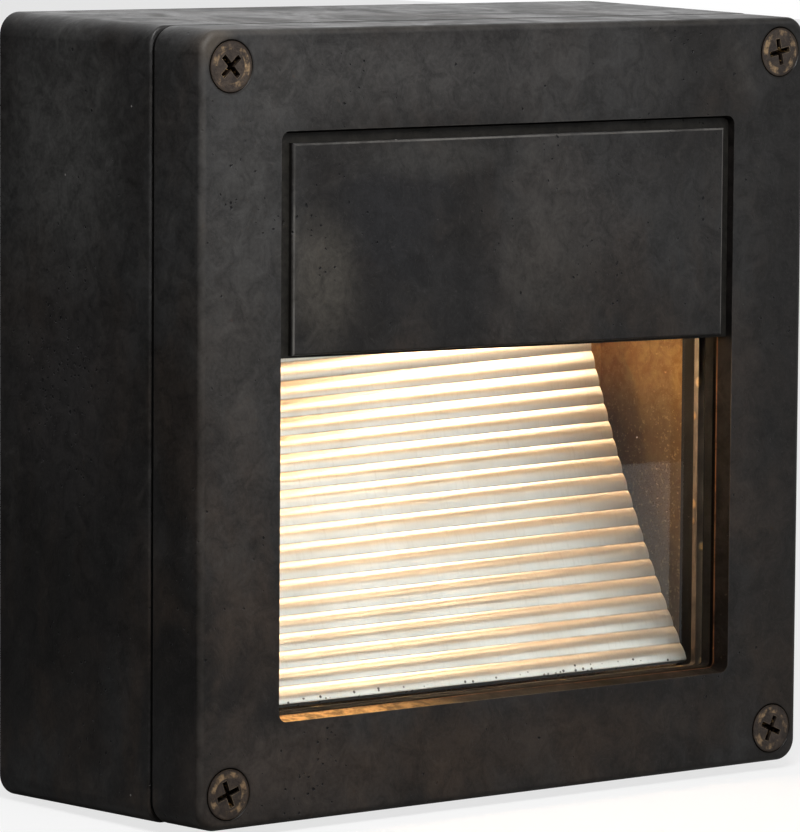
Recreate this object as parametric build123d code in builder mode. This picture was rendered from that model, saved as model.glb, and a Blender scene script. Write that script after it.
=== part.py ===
from build123d import *
import math
import os

# An outdoor wall downlight: a cast box on the wall, a cast cover with one large window, a shade plate
# flush in the window's upper part, and a lamp over a ribbed reflector behind the glass below it.
# +Z is up, +Y points into the wall, and the origin is the middle of the face that lies on the wall.
# A height is a distance from the wall, so the plane of a height h is Plane.XZ.offset(h).

# Outside of the body
face_size = 165.0
total_height = 70.0
draft_angle = 1.29
corner_radius = 5.0
cover_height = 16.2
seam_gap = 1.0
wall = 4.0
back_wall = 4.0
corner_post = 10.8
post_round = 3.0
face_round = 1.5
seam_round = 0.6
gasket_inset = 0.5

# Window, glass and its seals
front_plate = 5.2
window_side_margin = 20.5
window_low_margin = 21.2
window_top_margin = 21.1
window_draft = 9.0
window_corner = 1.2
rim_side_lap = 1.2
rim_low_lap = 1.5
rim_top_lap = 8.45
rim_wall = 2.5
rim_lip = 5.2
rim_corner = 3.0
glass_gasket_height = 2.6
glass_gasket_top_lap = 2.05
glass_edge = 0.4
glass_thickness = 4.0
glass_side_gap = 0.4
sealant_width = 2.0
sealant_height = 2.6
sealant_slope = 1.2

# Shade plate
moat_side_width = 3.0
moat_top_width = 2.5
shade_left_drop = 46.45
shade_right_drop = 47.95
pad_round = 0.5
moat_depth = 1.5
plate_gap = 0.25
flange_side_lap = 5.5
flange_top_lap = 6.2
flange_height = 2.5
flange_corner = 1.5
ledge_lip = 2.2
ledge_thickness = 2.5
shade_screw_side_lap = 2.3
shade_screw_low_drop = 28.4
shade_screw_high_drop = 0.4
shade_screw_grip = 6.0

# Cover screws
screw_margin = 7.5
screw_radius = 3.0
screw_head_radius = 5.25
screw_length = 27.0
screw_running_gap = 0.05
screw_seat_gap = 0.1
head_land = 0.25
screw_end_chamfer = 0.6
recess_span = 5.8
recess_slot = 1.2
recess_depth = 2.4
recess_taper = 8.0
screw_tip_room = 4.0
cross_turns = {"top_left": 42.0, "top_right": 12.0, "bottom_left": 20.0, "bottom_right": 65.0}

# Ribbed reflector
reflector_side_gap = 2.5
reflector_low_gap = 1.7
reflector_glass_gap = 1.0
lower_radius = 330.0
upper_radius = 32.0
lower_lean = 33.5
upper_lean = 21.0
left_tilt = 6.0
rib_pitch = 4.13
rib_count = 28
rib_height = 0.42
sheet_thickness = 1.3
post_inset = 14.5
post_radius = 4.5
post_gap = 0.5
reflector_seat_gap = 0.3
reflector_screw_grip = 8.0

# Small screws, all with one pan head
small_radius = 1.5
small_head_radius = 2.9
small_head_top_radius = 2.6
small_head_height = 1.9
small_slot_width = 0.8
small_slot_depth = 0.9
small_hole_gap = 0.2
small_sink_radius = 3.2
thread_gap = 0.05
wall_screw_bite = 3.0
blind_bore_room = 0.3

# Fixing to the wall, and the cable entry
fixing_side_margin = 14.5
fixing_bracket_gap = 15.0
fixing_hole_radius = 2.75
fixing_pad_radius = 7.0
fixing_pad_height = 2.0
entry_z = -16.0
entry_hole_radius = 8.0
grommet_flange_radius = 10.5
grommet_flange_height = 2.0
grommet_collar_radius = 7.0
grommet_collar_height = 3.0
grommet_rear_gap = 0.6
grommet_fit_gap = 0.05
grommet_bore_radius = 4.5

# Lamp and lampholder
lamp_rise = 85.6
lamp_depth = 30.0
envelope_radius = 7.0
envelope_wall = 1.0
lamp_reach = 42.0
pinch_show = 6.0
pinch_width = 14.0
pinch_thickness = 4.5
pin_radius = 0.6
pin_pitch = 9.0
pin_length = 9.0
envelope_tip_round = 6.0
pinch_engagement = 2.5
pinch_plug_length = 2.0
pinch_plug_gap = 0.05
filament_reach = 26.0
filament_radius = 0.9
filament_span = 6.0
filament_leg_radius = 0.35
holder_gap = 2.5
holder_length = 14.0
holder_depth = 15.0
holder_span = 30.0
holder_round = 1.5
socket_gap = 0.4
pin_gap = 0.1
pin_hole_room = 0.5
holder_screw_pitch = 22.0
holder_sink = 2.2
bracket_thickness = 1.5
bracket_width = 28.0
bracket_over = 7.0
bracket_foot = 15.0
bracket_screw_inset = 7.0
bracket_bend = 2.0
lead_hole_radius = 1.3
lead_hole_depth = 3.5

# Terminal block, earth point and leads
block_side_margin = 42.5
block_low_margin = 44.5
block_width = 26.0
block_span = 20.0
block_height = 14.0
block_round = 1.0
block_sink = 2.4
way_pitch = 8.0
way_bore_radius = 1.7
way_height = 6.0
clamp_screw_radius = 1.4
clamp_screw_pitch = 12.0
clamp_sink = 1.5
clamp_slot_width = 0.6
clamp_slot_depth = 0.7
earth_side_margin = 20.5
earth_rise = 32.0
earth_boss_radius = 5.0
earth_screw_grip = 6.6
washer_radius = 3.6
washer_thickness = 0.8
lug_radius = 3.8
lug_thickness = 0.8
lug_width = 3.4
barrel_start = 4.8
barrel_length = 5.0
barrel_radius = 1.7
barrel_bore_radius = 1.1
lug_turn = -45.0
lead_radius = 1.0
neutral_inset = 7.5
neutral_drop = 5.0
live_inset = 4.0
live_drop = 9.5
lead_engagement = 6.5
lead_end_gap = 0.8
lead_arc_share = 0.45

# Places that the leads pass behind the reflector, as x, height and z
neutral_turn_z = -8.0
neutral_way = [(-20, 9, 8.5), (12, 8.5, 9), (46, 8.5, 7)]
live_turn_z = -14.0
live_way = [(-16, 9, 1.5), (14, 8, 3.5), (46, 8.5, 2)]
lead_rise_height = 9.0

# Worked out from the sizes above
face_half = face_size / 2
cover_base = total_height - cover_height
box_height = cover_base - seam_gap
plate_back = total_height - front_plate
moat_floor = total_height - moat_depth
glass_front = plate_back - glass_gasket_height
glass_back = glass_front - glass_thickness
rim_rear = glass_back - sealant_height - rim_lip
ledge_rear = glass_back - ledge_lip
window_width = 2 * (face_half - window_side_margin)
window_bottom = window_low_margin - face_half
window_top = face_half - window_top_margin
window_slope = front_plate * math.tan(math.radians(window_draft))
window_inner_half = window_width / 2 - window_slope
window_inner_bottom = window_bottom + window_slope
window_inner_top = window_top - window_slope
pad_width = window_width - 2 * moat_side_width
pad_top = window_top - moat_top_width
pad_left_bottom = window_top - shade_left_drop
pad_right_bottom = window_top - shade_right_drop
flange_width = window_width + 2 * flange_side_lap
flange_top = window_top + flange_top_lap
shade_screw_x = window_width / 2 + shade_screw_side_lap
shade_screw_low = window_top - shade_screw_low_drop
shade_screw_high = window_top - shade_screw_high_drop
rim_width = window_width + 2 * rim_side_lap
rim_bottom = window_bottom - rim_low_lap
rim_top = pad_left_bottom + rim_top_lap
glass_gasket_top = pad_left_bottom + glass_gasket_top_lap
reflector_width = window_width - 2 * reflector_side_gap
reflector_bottom_z = window_bottom + reflector_low_gap
reflector_bottom_height = glass_back - reflector_glass_gap
lower_length = lower_radius * math.radians(lower_lean - upper_lean)
upright_length = lower_length + upper_radius * math.radians(upper_lean)
post_x = reflector_width / 2 - post_inset
screw_pitch = 2 * (face_half - screw_margin)
screw_bore_radius = screw_radius + screw_running_gap
screw_ring_radius = screw_head_radius + head_land + screw_seat_gap
screw_tip = total_height - screw_length
small_hole_radius = small_radius + small_hole_gap
thread_bore_radius = small_radius + thread_gap
fixing_x = face_half - fixing_side_margin
lamp_z = reflector_bottom_z + lamp_rise
fixing_z = lamp_z + bracket_width / 2 + fixing_bracket_gap
lamp_height = total_height - lamp_depth
holder_x = reflector_width / 2 + holder_gap
holder_back = lamp_height - holder_depth / 2
envelope_end_x = holder_x - lamp_reach
filament_x = holder_x - filament_reach
pinch_start_x = holder_x - pinch_show
pinch_end_x = holder_x + pinch_engagement
bracket_x = holder_x + holder_length
bracket_top = lamp_height + bracket_over
bracket_screw_x = bracket_x - bracket_screw_inset
neutral_x = holder_x + neutral_inset
neutral_z = lamp_z - neutral_drop
live_x = holder_x + live_inset
live_z = lamp_z - live_drop
block_x = block_side_margin - face_half
block_z = block_low_margin - face_half
earth_x = earth_side_margin - face_half
earth_z = block_z + earth_rise
way_centre = back_wall + way_height
block_front = back_wall + block_height
lug_seat = way_centre - barrel_radius
lead_end_z = block_z + block_span / 2 - lead_engagement


def outline_half(height):
    """Half the outline of the cast body at a height: the foundry draft widens it to the wall."""
    return face_half + (total_height - height) * math.tan(math.radians(draft_angle))


def cast_block(bottom, top):
    """A solid square block with rounded corners and drafted sides between two heights."""
    with BuildSketch(Plane.XZ.offset(bottom)) as outline:
        RectangleRounded(2 * outline_half(bottom), 2 * outline_half(bottom), corner_radius)
    extrude(outline.sketch, amount=top - bottom, taper=draft_angle)


def draw_box(left, right, bottom, top, mode=Mode.ADD):
    """A rectangle on the current sketch, given by its four sides."""
    with Locations(((left + right) / 2, (bottom + top) / 2)):
        Rectangle(right - left, top - bottom, mode=mode)


def draw_pocket(inset, mode=Mode.ADD):
    """The outline of the glass pocket on the current sketch, moved inwards by an inset."""
    with Locations((0, (rim_top + rim_bottom) / 2)):
        RectangleRounded(rim_width - 2 * inset, rim_top - rim_bottom - 2 * inset,
                         rim_corner - inset, mode=mode)


def draw_shade(half, top):
    """The outline of the shade plate on the current line: its lower edge runs down to the right."""
    middle = (pad_left_bottom + pad_right_bottom) / 2
    slope = (pad_right_bottom - pad_left_bottom) / pad_width
    Polyline((-half, middle - slope * half), (half, middle + slope * half),
             (half, top), (-half, top), close=True)


def pan_screw(grip):
    """A slotted screw, with the middle of its head's top at each current location."""
    Cylinder(small_radius, small_head_height + grip, align=(Align.CENTER, Align.CENTER, Align.MAX))
    Cone(small_head_radius, small_head_top_radius, small_head_height,
         align=(Align.CENTER, Align.CENTER, Align.MAX))
    Box(3 * small_head_radius, small_slot_width, 2 * small_slot_depth, mode=Mode.SUBTRACT)


def sheet_point(length, lift, tilt):
    """Point (y, z) of the reflector sheet at a length from its lower edge, lifted off its front.

    The sheet leans back from its lower edge on a long arc, then turns on a tighter arc over the lamp.
    The tilt turns the whole profile back about its lower edge.
    """
    start = math.radians(lower_lean)
    middle = math.radians(upper_lean)
    lean = start - min(length, lower_length) / lower_radius
    y = lower_radius * (math.cos(lean) - math.cos(start))
    z = lower_radius * (math.sin(start) - math.sin(lean))
    if length > lower_length:
        lean = middle - (length - lower_length) / upper_radius
        y += upper_radius * (math.cos(lean) - math.cos(middle))
        z += upper_radius * (math.sin(middle) - math.sin(lean))
    y -= lift * math.cos(lean)
    z += lift * math.sin(lean)
    turn = math.radians(tilt)
    back = y * math.cos(turn) + z * math.sin(turn)
    up = z * math.cos(turn) - y * math.sin(turn)
    return (back - reflector_bottom_height, up + reflector_bottom_z)


def draw_sheet(tilt):
    """Closed outline of the ribbed sheet on the current line: ribs in front, smooth behind."""
    sheet_length = rib_count * rib_pitch
    for rib in range(rib_count):
        foot = rib * rib_pitch
        ThreePointArc(sheet_point(foot, 0, tilt),
                      sheet_point(foot + rib_pitch / 2, rib_height, tilt),
                      sheet_point(foot + rib_pitch, 0, tilt))
    stations = (sheet_length, (sheet_length + lower_length) / 2, lower_length, lower_length / 2, 0)
    back = [sheet_point(length, -sheet_thickness, tilt) for length in stations]
    Line(sheet_point(sheet_length, 0, tilt), back[0])
    ThreePointArc(*back[0:3])
    ThreePointArc(*back[2:5])
    Line(back[4], sheet_point(0, 0, tilt))


def sheet_height(x, lift):
    """Height of the sheet where it is nearest to the wall, at a place along it."""
    right = sheet_point(upright_length, lift, 0)[0]
    left = sheet_point(upright_length + upper_radius * math.radians(left_tilt), lift, left_tilt)[0]
    return -(right + (left - right) * (0.5 - x / reflector_width))


def lead(points):
    """A lead along a route of straight runs joined by tangent arcs, points as (x, height, z)."""
    route = [Vector(x, -height, z) for x, height, z in points]
    radii = []
    for before, corner, after in zip(route, route[1:], route[2:]):
        shorter = min((corner - before).length, (after - corner).length)
        turn = (corner - before).get_angle(after - corner)
        radii.append(lead_arc_share * shorter / math.tan(math.radians(turn) / 2))
    print("lead radii", [round(radius, 1) for radius in radii])
    with BuildLine() as line:
        FilletPolyline(*route, radius=radii)
    with BuildSketch(Plane(origin=route[0], z_dir=route[1] - route[0])) as section:
        Circle(lead_radius)
    sweep(section.sketch, path=line.line)


# Hollow of both castings and of the gasket between them: a square with a post in each corner
hollow_half = outline_half(box_height) - wall
with BuildSketch() as hollow:
    Rectangle(2 * hollow_half, 2 * hollow_half)
    with GridLocations(2 * hollow_half - corner_post, 2 * hollow_half - corner_post, 2, 2):
        Rectangle(corner_post, corner_post, mode=Mode.SUBTRACT)
    fillet(hollow.vertices(), post_round)

post_z = sheet_point(upright_length, 0, 0)[1]
post_places = ((-post_x, post_z), (post_x, post_z))
shade_screw_places = [(side * shade_screw_x, z)
                      for side in (-1, 1) for z in (shade_screw_low, shade_screw_high)]
way_places = [block_x + way * way_pitch for way in (-1, 0, 1)]
clamp_places = [(x, block_z + side * clamp_screw_pitch / 2) for side in (-1, 1) for x in way_places]
block_screw_x = block_x - way_pitch / 2
lamp_axis = Axis((0, -lamp_height, lamp_z), (1, 0, 0))

# The barrel of the earth lug points straight at the corner of the earth lead
barrel_direction = Vector(1, 0, 0).rotate(Axis.Y, -lug_turn)
barrel_plane = Plane(Vector(earth_x, -way_centre, earth_z) + barrel_direction * barrel_start,
                     z_dir=barrel_direction)
barrel_stop = barrel_plane.origin + barrel_direction * lead_end_gap
earth_corner_z = earth_z - (way_places[0] - earth_x)

os.makedirs("parts", exist_ok=True)

# Box against the wall, with its posts, pads and bosses
with BuildPart() as back_box:
    cast_block(0, box_height)
    fillet(back_box.faces().sort_by(Axis.Y)[0].edges(), seam_round)
    with BuildSketch(Plane.XZ.offset(back_wall)):
        add(hollow.sketch)
    extrude(amount=box_height - back_wall, mode=Mode.SUBTRACT)
    with BuildSketch(Plane.XZ.offset(back_wall)):
        with GridLocations(2 * fixing_x, 2 * fixing_z, 2, 2):
            Circle(fixing_pad_radius)
    extrude(amount=fixing_pad_height)
    with BuildSketch(Plane.XZ.offset(back_wall)):
        with Locations((earth_x, earth_z)):
            Circle(earth_boss_radius)
    extrude(amount=lug_seat - back_wall)
    for place in post_places:
        with BuildSketch(Plane.XZ.offset(back_wall)):
            with Locations(place):
                Circle(post_radius)
        extrude(amount=sheet_height(place[0], -sheet_thickness) - post_gap - back_wall)
        post_seat = sheet_height(place[0], 0) + rib_height + reflector_seat_gap
        with BuildSketch(Plane.XZ.offset(post_seat)):
            with Locations(place):
                Circle(thread_bore_radius)
        extrude(amount=-reflector_screw_grip - blind_bore_room, mode=Mode.SUBTRACT)
    with BuildSketch(Plane.XZ):
        with GridLocations(2 * fixing_x, 2 * fixing_z, 2, 2):
            Circle(fixing_hole_radius)
        with Locations((0, entry_z)):
            Circle(entry_hole_radius)
    extrude(amount=back_wall + fixing_pad_height, mode=Mode.SUBTRACT)
    with BuildSketch(Plane.XZ.offset(box_height)):
        with GridLocations(screw_pitch, screw_pitch, 2, 2):
            Circle(screw_bore_radius)
    extrude(amount=screw_tip - screw_tip_room - box_height, mode=Mode.SUBTRACT)
    with BuildSketch(Plane.XZ.offset(back_wall)):
        with Locations((block_screw_x, block_z), (bracket_screw_x, lamp_z)):
            Circle(thread_bore_radius)
    extrude(amount=-wall_screw_bite - blind_bore_room, mode=Mode.SUBTRACT)
    with BuildSketch(Plane.XZ.offset(lug_seat)):
        with Locations((earth_x, earth_z)):
            Circle(thread_bore_radius)
    extrude(amount=-earth_screw_grip, mode=Mode.SUBTRACT)
back_box.part.label = "back_box"
export_step(back_box.part, "parts/back_box.step")

# Flat rubber gasket between the box and the cover
with BuildPart() as box_gasket:
    with BuildSketch(Plane.XZ.offset(box_height)):
        gasket_side = 2 * (outline_half(box_height) - gasket_inset)
        RectangleRounded(gasket_side, gasket_side, corner_radius - gasket_inset)
        add(hollow.sketch, mode=Mode.SUBTRACT)
        with GridLocations(screw_pitch, screw_pitch, 2, 2):
            Circle(screw_bore_radius, mode=Mode.SUBTRACT)
    extrude(amount=seam_gap)
box_gasket.part.label = "box_gasket"
export_step(box_gasket.part, "parts/box_gasket.step")

# Rubber grommet in the cable entry of the back wall
with BuildPart() as cable_grommet:
    with BuildSketch(Plane.XZ.offset(grommet_rear_gap)):
        with Locations((0, entry_z)):
            Circle(entry_hole_radius - grommet_fit_gap)
    extrude(amount=back_wall - grommet_rear_gap)
    with BuildSketch(Plane.XZ.offset(back_wall)):
        with Locations((0, entry_z)):
            Circle(grommet_flange_radius)
    extrude(amount=grommet_flange_height)
    with BuildSketch(Plane.XZ.offset(back_wall + grommet_flange_height)):
        with Locations((0, entry_z)):
            Circle(grommet_collar_radius)
    extrude(amount=grommet_collar_height)
    with BuildSketch(Plane.XZ):
        with Locations((0, entry_z)):
            Circle(grommet_bore_radius)
    extrude(amount=back_wall + grommet_flange_height + grommet_collar_height, mode=Mode.SUBTRACT)
cable_grommet.part.label = "cable_grommet"
export_step(cable_grommet.part, "parts/cable_grommet.step")

# Cover: a square frame with one window, and behind it the rim that the glass sits in
with BuildPart() as front_cover:
    cast_block(cover_base, total_height)
    fillet(front_cover.faces().sort_by(Axis.Y)[0].edges(), face_round)
    fillet(front_cover.faces().sort_by(Axis.Y)[-1].edges(), seam_round)
    with BuildSketch(Plane.XZ.offset(cover_base)):
        add(hollow.sketch)
    extrude(amount=cover_height - front_plate, mode=Mode.SUBTRACT)
    with BuildSketch(Plane.XZ.offset(plate_back)) as window:
        draw_box(-window_inner_half, window_inner_half, window_inner_bottom, window_inner_top)
        fillet(window.vertices(), window_corner)
    extrude(amount=front_plate, taper=-window_draft, mode=Mode.SUBTRACT)
    with BuildSketch(Plane.XZ.offset(rim_rear)):
        draw_pocket(-rim_wall)
        draw_pocket(0, mode=Mode.SUBTRACT)
        draw_box(-rim_width / 2, rim_width / 2, 0, rim_top, mode=Mode.SUBTRACT)
        draw_box(-rim_width, rim_width, rim_top - plate_gap, 2 * rim_top, mode=Mode.SUBTRACT)
    extrude(amount=plate_back - rim_rear)
    with Locations(Plane.XZ.offset(total_height)):
        with GridLocations(screw_pitch, screw_pitch, 2, 2):
            CounterSinkHole(screw_bore_radius, screw_ring_radius, depth=cover_height,
                            counter_sink_angle=90)
    with BuildSketch(Plane.XZ.offset(plate_back)):
        with Locations(*shade_screw_places):
            Circle(thread_bore_radius)
    extrude(amount=shade_screw_grip - flange_height + blind_bore_room, mode=Mode.SUBTRACT)
front_cover.part.label = "front_cover"
export_step(front_cover.part, "parts/front_cover.step")

# Shade plate: a raised pad in the window, a flange behind the frame and a ledge above the glass
with BuildPart() as shade_plate:
    with BuildSketch(Plane.XZ.offset(plate_back)) as filler:
        with BuildLine():
            draw_shade(window_inner_half - plate_gap, window_inner_top - plate_gap)
        make_face()
        fillet(filler.vertices().group_by(Axis.Y)[-1], window_corner - plate_gap)
    extrude(amount=moat_floor - plate_back, taper=-window_draft)
    with BuildSketch(Plane.XZ.offset(moat_floor)):
        with BuildLine():
            draw_shade(pad_width / 2, pad_top)
        make_face()
    extrude(amount=moat_depth)
    fillet(shade_plate.faces().sort_by(Axis.Y)[0].edges(), pad_round)
    with BuildSketch(Plane.XZ.offset(plate_back - flange_height)) as flange:
        draw_box(-flange_width / 2, flange_width / 2, rim_top, flange_top)
        fillet(flange.vertices(), flange_corner)
    extrude(amount=flange_height)
    with BuildSketch(Plane.XZ.offset(ledge_rear)):
        draw_box(-rim_width / 2, rim_width / 2, rim_top, rim_top + ledge_thickness)
    extrude(amount=plate_back - ledge_rear)
    with BuildSketch(Plane.XZ.offset(plate_back - flange_height)):
        with Locations(*shade_screw_places):
            Circle(small_hole_radius)
    extrude(amount=flange_height, mode=Mode.SUBTRACT)
shade_plate.part.label = "shade_plate"
export_step(shade_plate.part, "parts/shade_plate.step")

# Four screws that hold the shade plate to the cover from behind
with BuildPart() as shade_screws:
    shade_screw_top = plate_back - flange_height - small_head_height
    with Locations(*[Plane((x, -shade_screw_top, z), x_dir=(1, 0, 0), z_dir=(0, 1, 0))
                     for x, z in shade_screw_places]):
        pan_screw(shade_screw_grip)
shade_screws.part.label = "shade_screws"
export_step(shade_screws.part, "parts/shade_screws.step")

# Rubber gasket between the window frame and the glass
with BuildPart() as glass_gasket:
    with BuildSketch(Plane.XZ.offset(glass_front)):
        draw_pocket(glass_side_gap)
        with Locations((0, (glass_gasket_top + window_inner_bottom) / 2)):
            RectangleRounded(2 * window_inner_half, glass_gasket_top - window_inner_bottom,
                             window_corner, mode=Mode.SUBTRACT)
    extrude(amount=glass_gasket_height)
glass_gasket.part.label = "glass_gasket"
export_step(glass_gasket.part, "parts/glass_gasket.step")

# Pane of clear glass
with BuildPart() as window_glass:
    with BuildSketch(Plane.XZ.offset(glass_back)):
        draw_pocket(glass_side_gap)
    extrude(amount=glass_thickness)
    chamfer(window_glass.faces().filter_by(Axis.Y).edges(), glass_edge)
window_glass.part.label = "window_glass"
export_step(window_glass.part, "parts/window_glass.step")

# Bead of sealant that bonds the glass into the rim, sloped on its inner side
with BuildPart() as glass_sealant:
    with BuildSketch(Plane.XZ.offset(glass_back)):
        draw_pocket(0)
        draw_pocket(sealant_width, mode=Mode.SUBTRACT)
    extrude(amount=-sealant_height)
    bead_rear = glass_sealant.faces().sort_by(Axis.Y)[-1]
    chamfer(bead_rear.inner_wires()[0].edges(), sealant_slope)
glass_sealant.part.label = "glass_sealant"
export_step(glass_sealant.part, "parts/glass_sealant.step")

# Four countersunk cover screws, each with its cross recess turned another way
corner_half = screw_pitch / 2
screw_corners = {"top_left": (-corner_half, corner_half), "top_right": (corner_half, corner_half),
                 "bottom_left": (-corner_half, -corner_half),
                 "bottom_right": (corner_half, -corner_half)}
for corner, place in screw_corners.items():
    with BuildPart() as cover_screw:
        with BuildSketch(Plane.XZ.offset(total_height)):
            with Locations(place):
                Circle(screw_head_radius)
        extrude(amount=-head_land)
        with BuildSketch(Plane.XZ.offset(total_height - head_land)):
            with Locations(place):
                Circle(screw_head_radius)
        extrude(amount=screw_radius - screw_head_radius, taper=45)
        with BuildSketch(Plane.XZ.offset(screw_tip)):
            with Locations(place):
                Circle(screw_radius)
        extrude(amount=screw_length - head_land)
        chamfer(cover_screw.faces().sort_by(Axis.Y)[-1].edges(), screw_end_chamfer)
        with BuildSketch(Plane.XZ.offset(total_height)):
            with Locations(Location(place, cross_turns[corner])):
                Rectangle(recess_span, recess_slot)
                Rectangle(recess_slot, recess_span)
        extrude(amount=-recess_depth, taper=recess_taper, mode=Mode.SUBTRACT)
    cover_screw.part.label = "cover_screw_" + corner
    export_step(cover_screw.part, "parts/cover_screw_" + corner + ".step")

# Ribbed reflector: a bent sheet, ruled between the outline of its right end and that of its left end
with BuildPart() as reflector:
    for x, tilt in ((-reflector_width / 2, left_tilt), (reflector_width / 2, 0)):
        with BuildSketch(Plane.YZ.offset(x)):
            with BuildLine():
                draw_sheet(tilt)
            make_face()
    loft(ruled=True)
    with BuildSketch(Plane.XZ):
        with Locations(*post_places):
            Circle(small_hole_radius)
    extrude(amount=total_height, mode=Mode.SUBTRACT)
reflector.part.label = "reflector"
export_step(reflector.part, "parts/reflector.step")

# Two screws that hold the reflector to its posts
with BuildPart() as reflector_screws:
    head_rise = rib_height + reflector_seat_gap + small_head_height
    with Locations(*[Plane.XZ * Location((x, z, sheet_height(x, 0) + head_rise))
                     for x, z in post_places]):
        pan_screw(reflector_screw_grip)
reflector_screws.part.label = "reflector_screws"
export_step(reflector_screws.part, "parts/reflector_screws.step")

# Ceramic lampholder: a recess for the lamp's pinch, two pin holes, two sunk screw holes, two lead holes
with BuildPart() as lampholder:
    with BuildSketch(Plane.YZ.offset(holder_x)):
        with Locations((-lamp_height, lamp_z)):
            Rectangle(holder_depth, holder_span)
    extrude(amount=holder_length)
    chamfer(lampholder.edges().filter_by(Axis.X), holder_round)
    with BuildSketch(Plane.YZ.offset(holder_x)):
        with Locations((-lamp_height, lamp_z)):
            Rectangle(pinch_thickness + 2 * socket_gap, pinch_width + 2 * socket_gap)
    extrude(amount=pinch_engagement + socket_gap, mode=Mode.SUBTRACT)
    with BuildSketch(Plane.YZ.offset(holder_x)):
        with Locations((-lamp_height, lamp_z)):
            with GridLocations(1, pin_pitch, 1, 2):
                Circle(pin_radius + pin_gap)
    extrude(amount=pinch_engagement + pin_length + pin_hole_room, mode=Mode.SUBTRACT)
    with BuildSketch(Plane.YZ.offset(holder_x)):
        with Locations((-lamp_height, lamp_z)):
            with GridLocations(1, holder_screw_pitch, 1, 2):
                Circle(small_hole_radius)
    extrude(amount=holder_length, mode=Mode.SUBTRACT)
    with BuildSketch(Plane.YZ.offset(holder_x)):
        with Locations((-lamp_height, lamp_z)):
            with GridLocations(1, holder_screw_pitch, 1, 2):
                Circle(small_sink_radius)
    extrude(amount=holder_sink, mode=Mode.SUBTRACT)
    with BuildSketch(Plane.XZ.offset(holder_back)):
        with Locations((neutral_x, neutral_z), (live_x, live_z)):
            Circle(lead_hole_radius)
    extrude(amount=lead_hole_depth, mode=Mode.SUBTRACT)
lampholder.part.label = "lampholder"
export_step(lampholder.part, "parts/lampholder.step")

# Two screws that hold the lampholder to its bracket
with BuildPart() as lampholder_screws:
    holder_screw_top = holder_x + holder_sink - small_head_height
    with Locations(*[Plane((holder_screw_top, -lamp_height, lamp_z + side * holder_screw_pitch / 2),
                           x_dir=(0, 0, 1), z_dir=(-1, 0, 0)) for side in (-1, 1)]):
        pan_screw(holder_length + bracket_thickness - holder_sink)
lampholder_screws.part.label = "lampholder_screws"
export_step(lampholder_screws.part, "parts/lampholder_screws.step")

# Angle bracket between the lampholder and the back wall
with BuildPart() as lampholder_bracket:
    with BuildSketch(Plane.XY.offset(lamp_z - bracket_width / 2)):
        draw_box(bracket_x, bracket_x + bracket_thickness, -bracket_top, -back_wall)
        draw_box(bracket_x + bracket_thickness - bracket_foot, bracket_x + bracket_thickness,
                 -back_wall - bracket_thickness, -back_wall)
    extrude(amount=bracket_width)
    outer_bend = lampholder_bracket.edges().filter_by(Axis.Z).sort_by(Axis.X)[-2:].sort_by(Axis.Y)[-1]
    fillet(outer_bend, bracket_bend)
    with BuildSketch(Plane.XZ.offset(back_wall)):
        with Locations((bracket_screw_x, lamp_z)):
            Circle(small_hole_radius)
    extrude(amount=bracket_thickness, mode=Mode.SUBTRACT)
    with BuildSketch(Plane.YZ.offset(bracket_x)):
        with Locations((-lamp_height, lamp_z)):
            with GridLocations(1, holder_screw_pitch, 1, 2):
                Circle(thread_bore_radius)
    extrude(amount=bracket_thickness, mode=Mode.SUBTRACT)
lampholder_bracket.part.label = "lampholder_bracket"
export_step(lampholder_bracket.part, "parts/lampholder_bracket.step")

# Screw that holds the bracket to the back wall
with BuildPart() as bracket_screw:
    bracket_screw_top = back_wall + bracket_thickness + small_head_height
    with Locations(Plane.XZ * Location((bracket_screw_x, lamp_z, bracket_screw_top))):
        pan_screw(bracket_thickness + wall_screw_bite)
bracket_screw.part.label = "bracket_screw"
export_step(bracket_screw.part, "parts/bracket_screw.step")

# Glass envelope of the capsule lamp, open where the pinch closes it
with BuildPart() as lamp_envelope:
    with BuildSketch(Plane.XY.offset(lamp_z)) as envelope_half:
        draw_box(envelope_end_x, pinch_start_x, -lamp_height, envelope_radius - lamp_height)
        fillet(envelope_half.vertices().sort_by(Axis.X)[:2].sort_by(Axis.Y)[-1], envelope_tip_round)
    revolve(axis=lamp_axis)
    with BuildSketch(Plane.XY.offset(lamp_z)) as envelope_hollow:
        draw_box(envelope_end_x + envelope_wall, pinch_start_x,
                 -lamp_height, envelope_radius - envelope_wall - lamp_height)
        fillet(envelope_hollow.vertices().sort_by(Axis.X)[:2].sort_by(Axis.Y)[-1],
               envelope_tip_round - envelope_wall)
    revolve(axis=lamp_axis, mode=Mode.SUBTRACT)
lamp_envelope.part.label = "lamp_envelope"
export_step(lamp_envelope.part, "parts/lamp_envelope.step")

# Pinch that closes the envelope and sits in the lampholder
with BuildPart() as lamp_pinch:
    with BuildSketch(Plane.YZ.offset(pinch_start_x)):
        with Locations((-lamp_height, lamp_z)):
            Circle(envelope_radius - envelope_wall - pinch_plug_gap)
    extrude(amount=-pinch_plug_length)
    with BuildSketch(Plane.YZ.offset(pinch_start_x)):
        with Locations((-lamp_height, lamp_z)):
            Rectangle(pinch_thickness, pinch_width)
    extrude(amount=pinch_end_x - pinch_start_x)
lamp_pinch.part.label = "lamp_pinch"
export_step(lamp_pinch.part, "parts/lamp_pinch.step")

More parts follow.
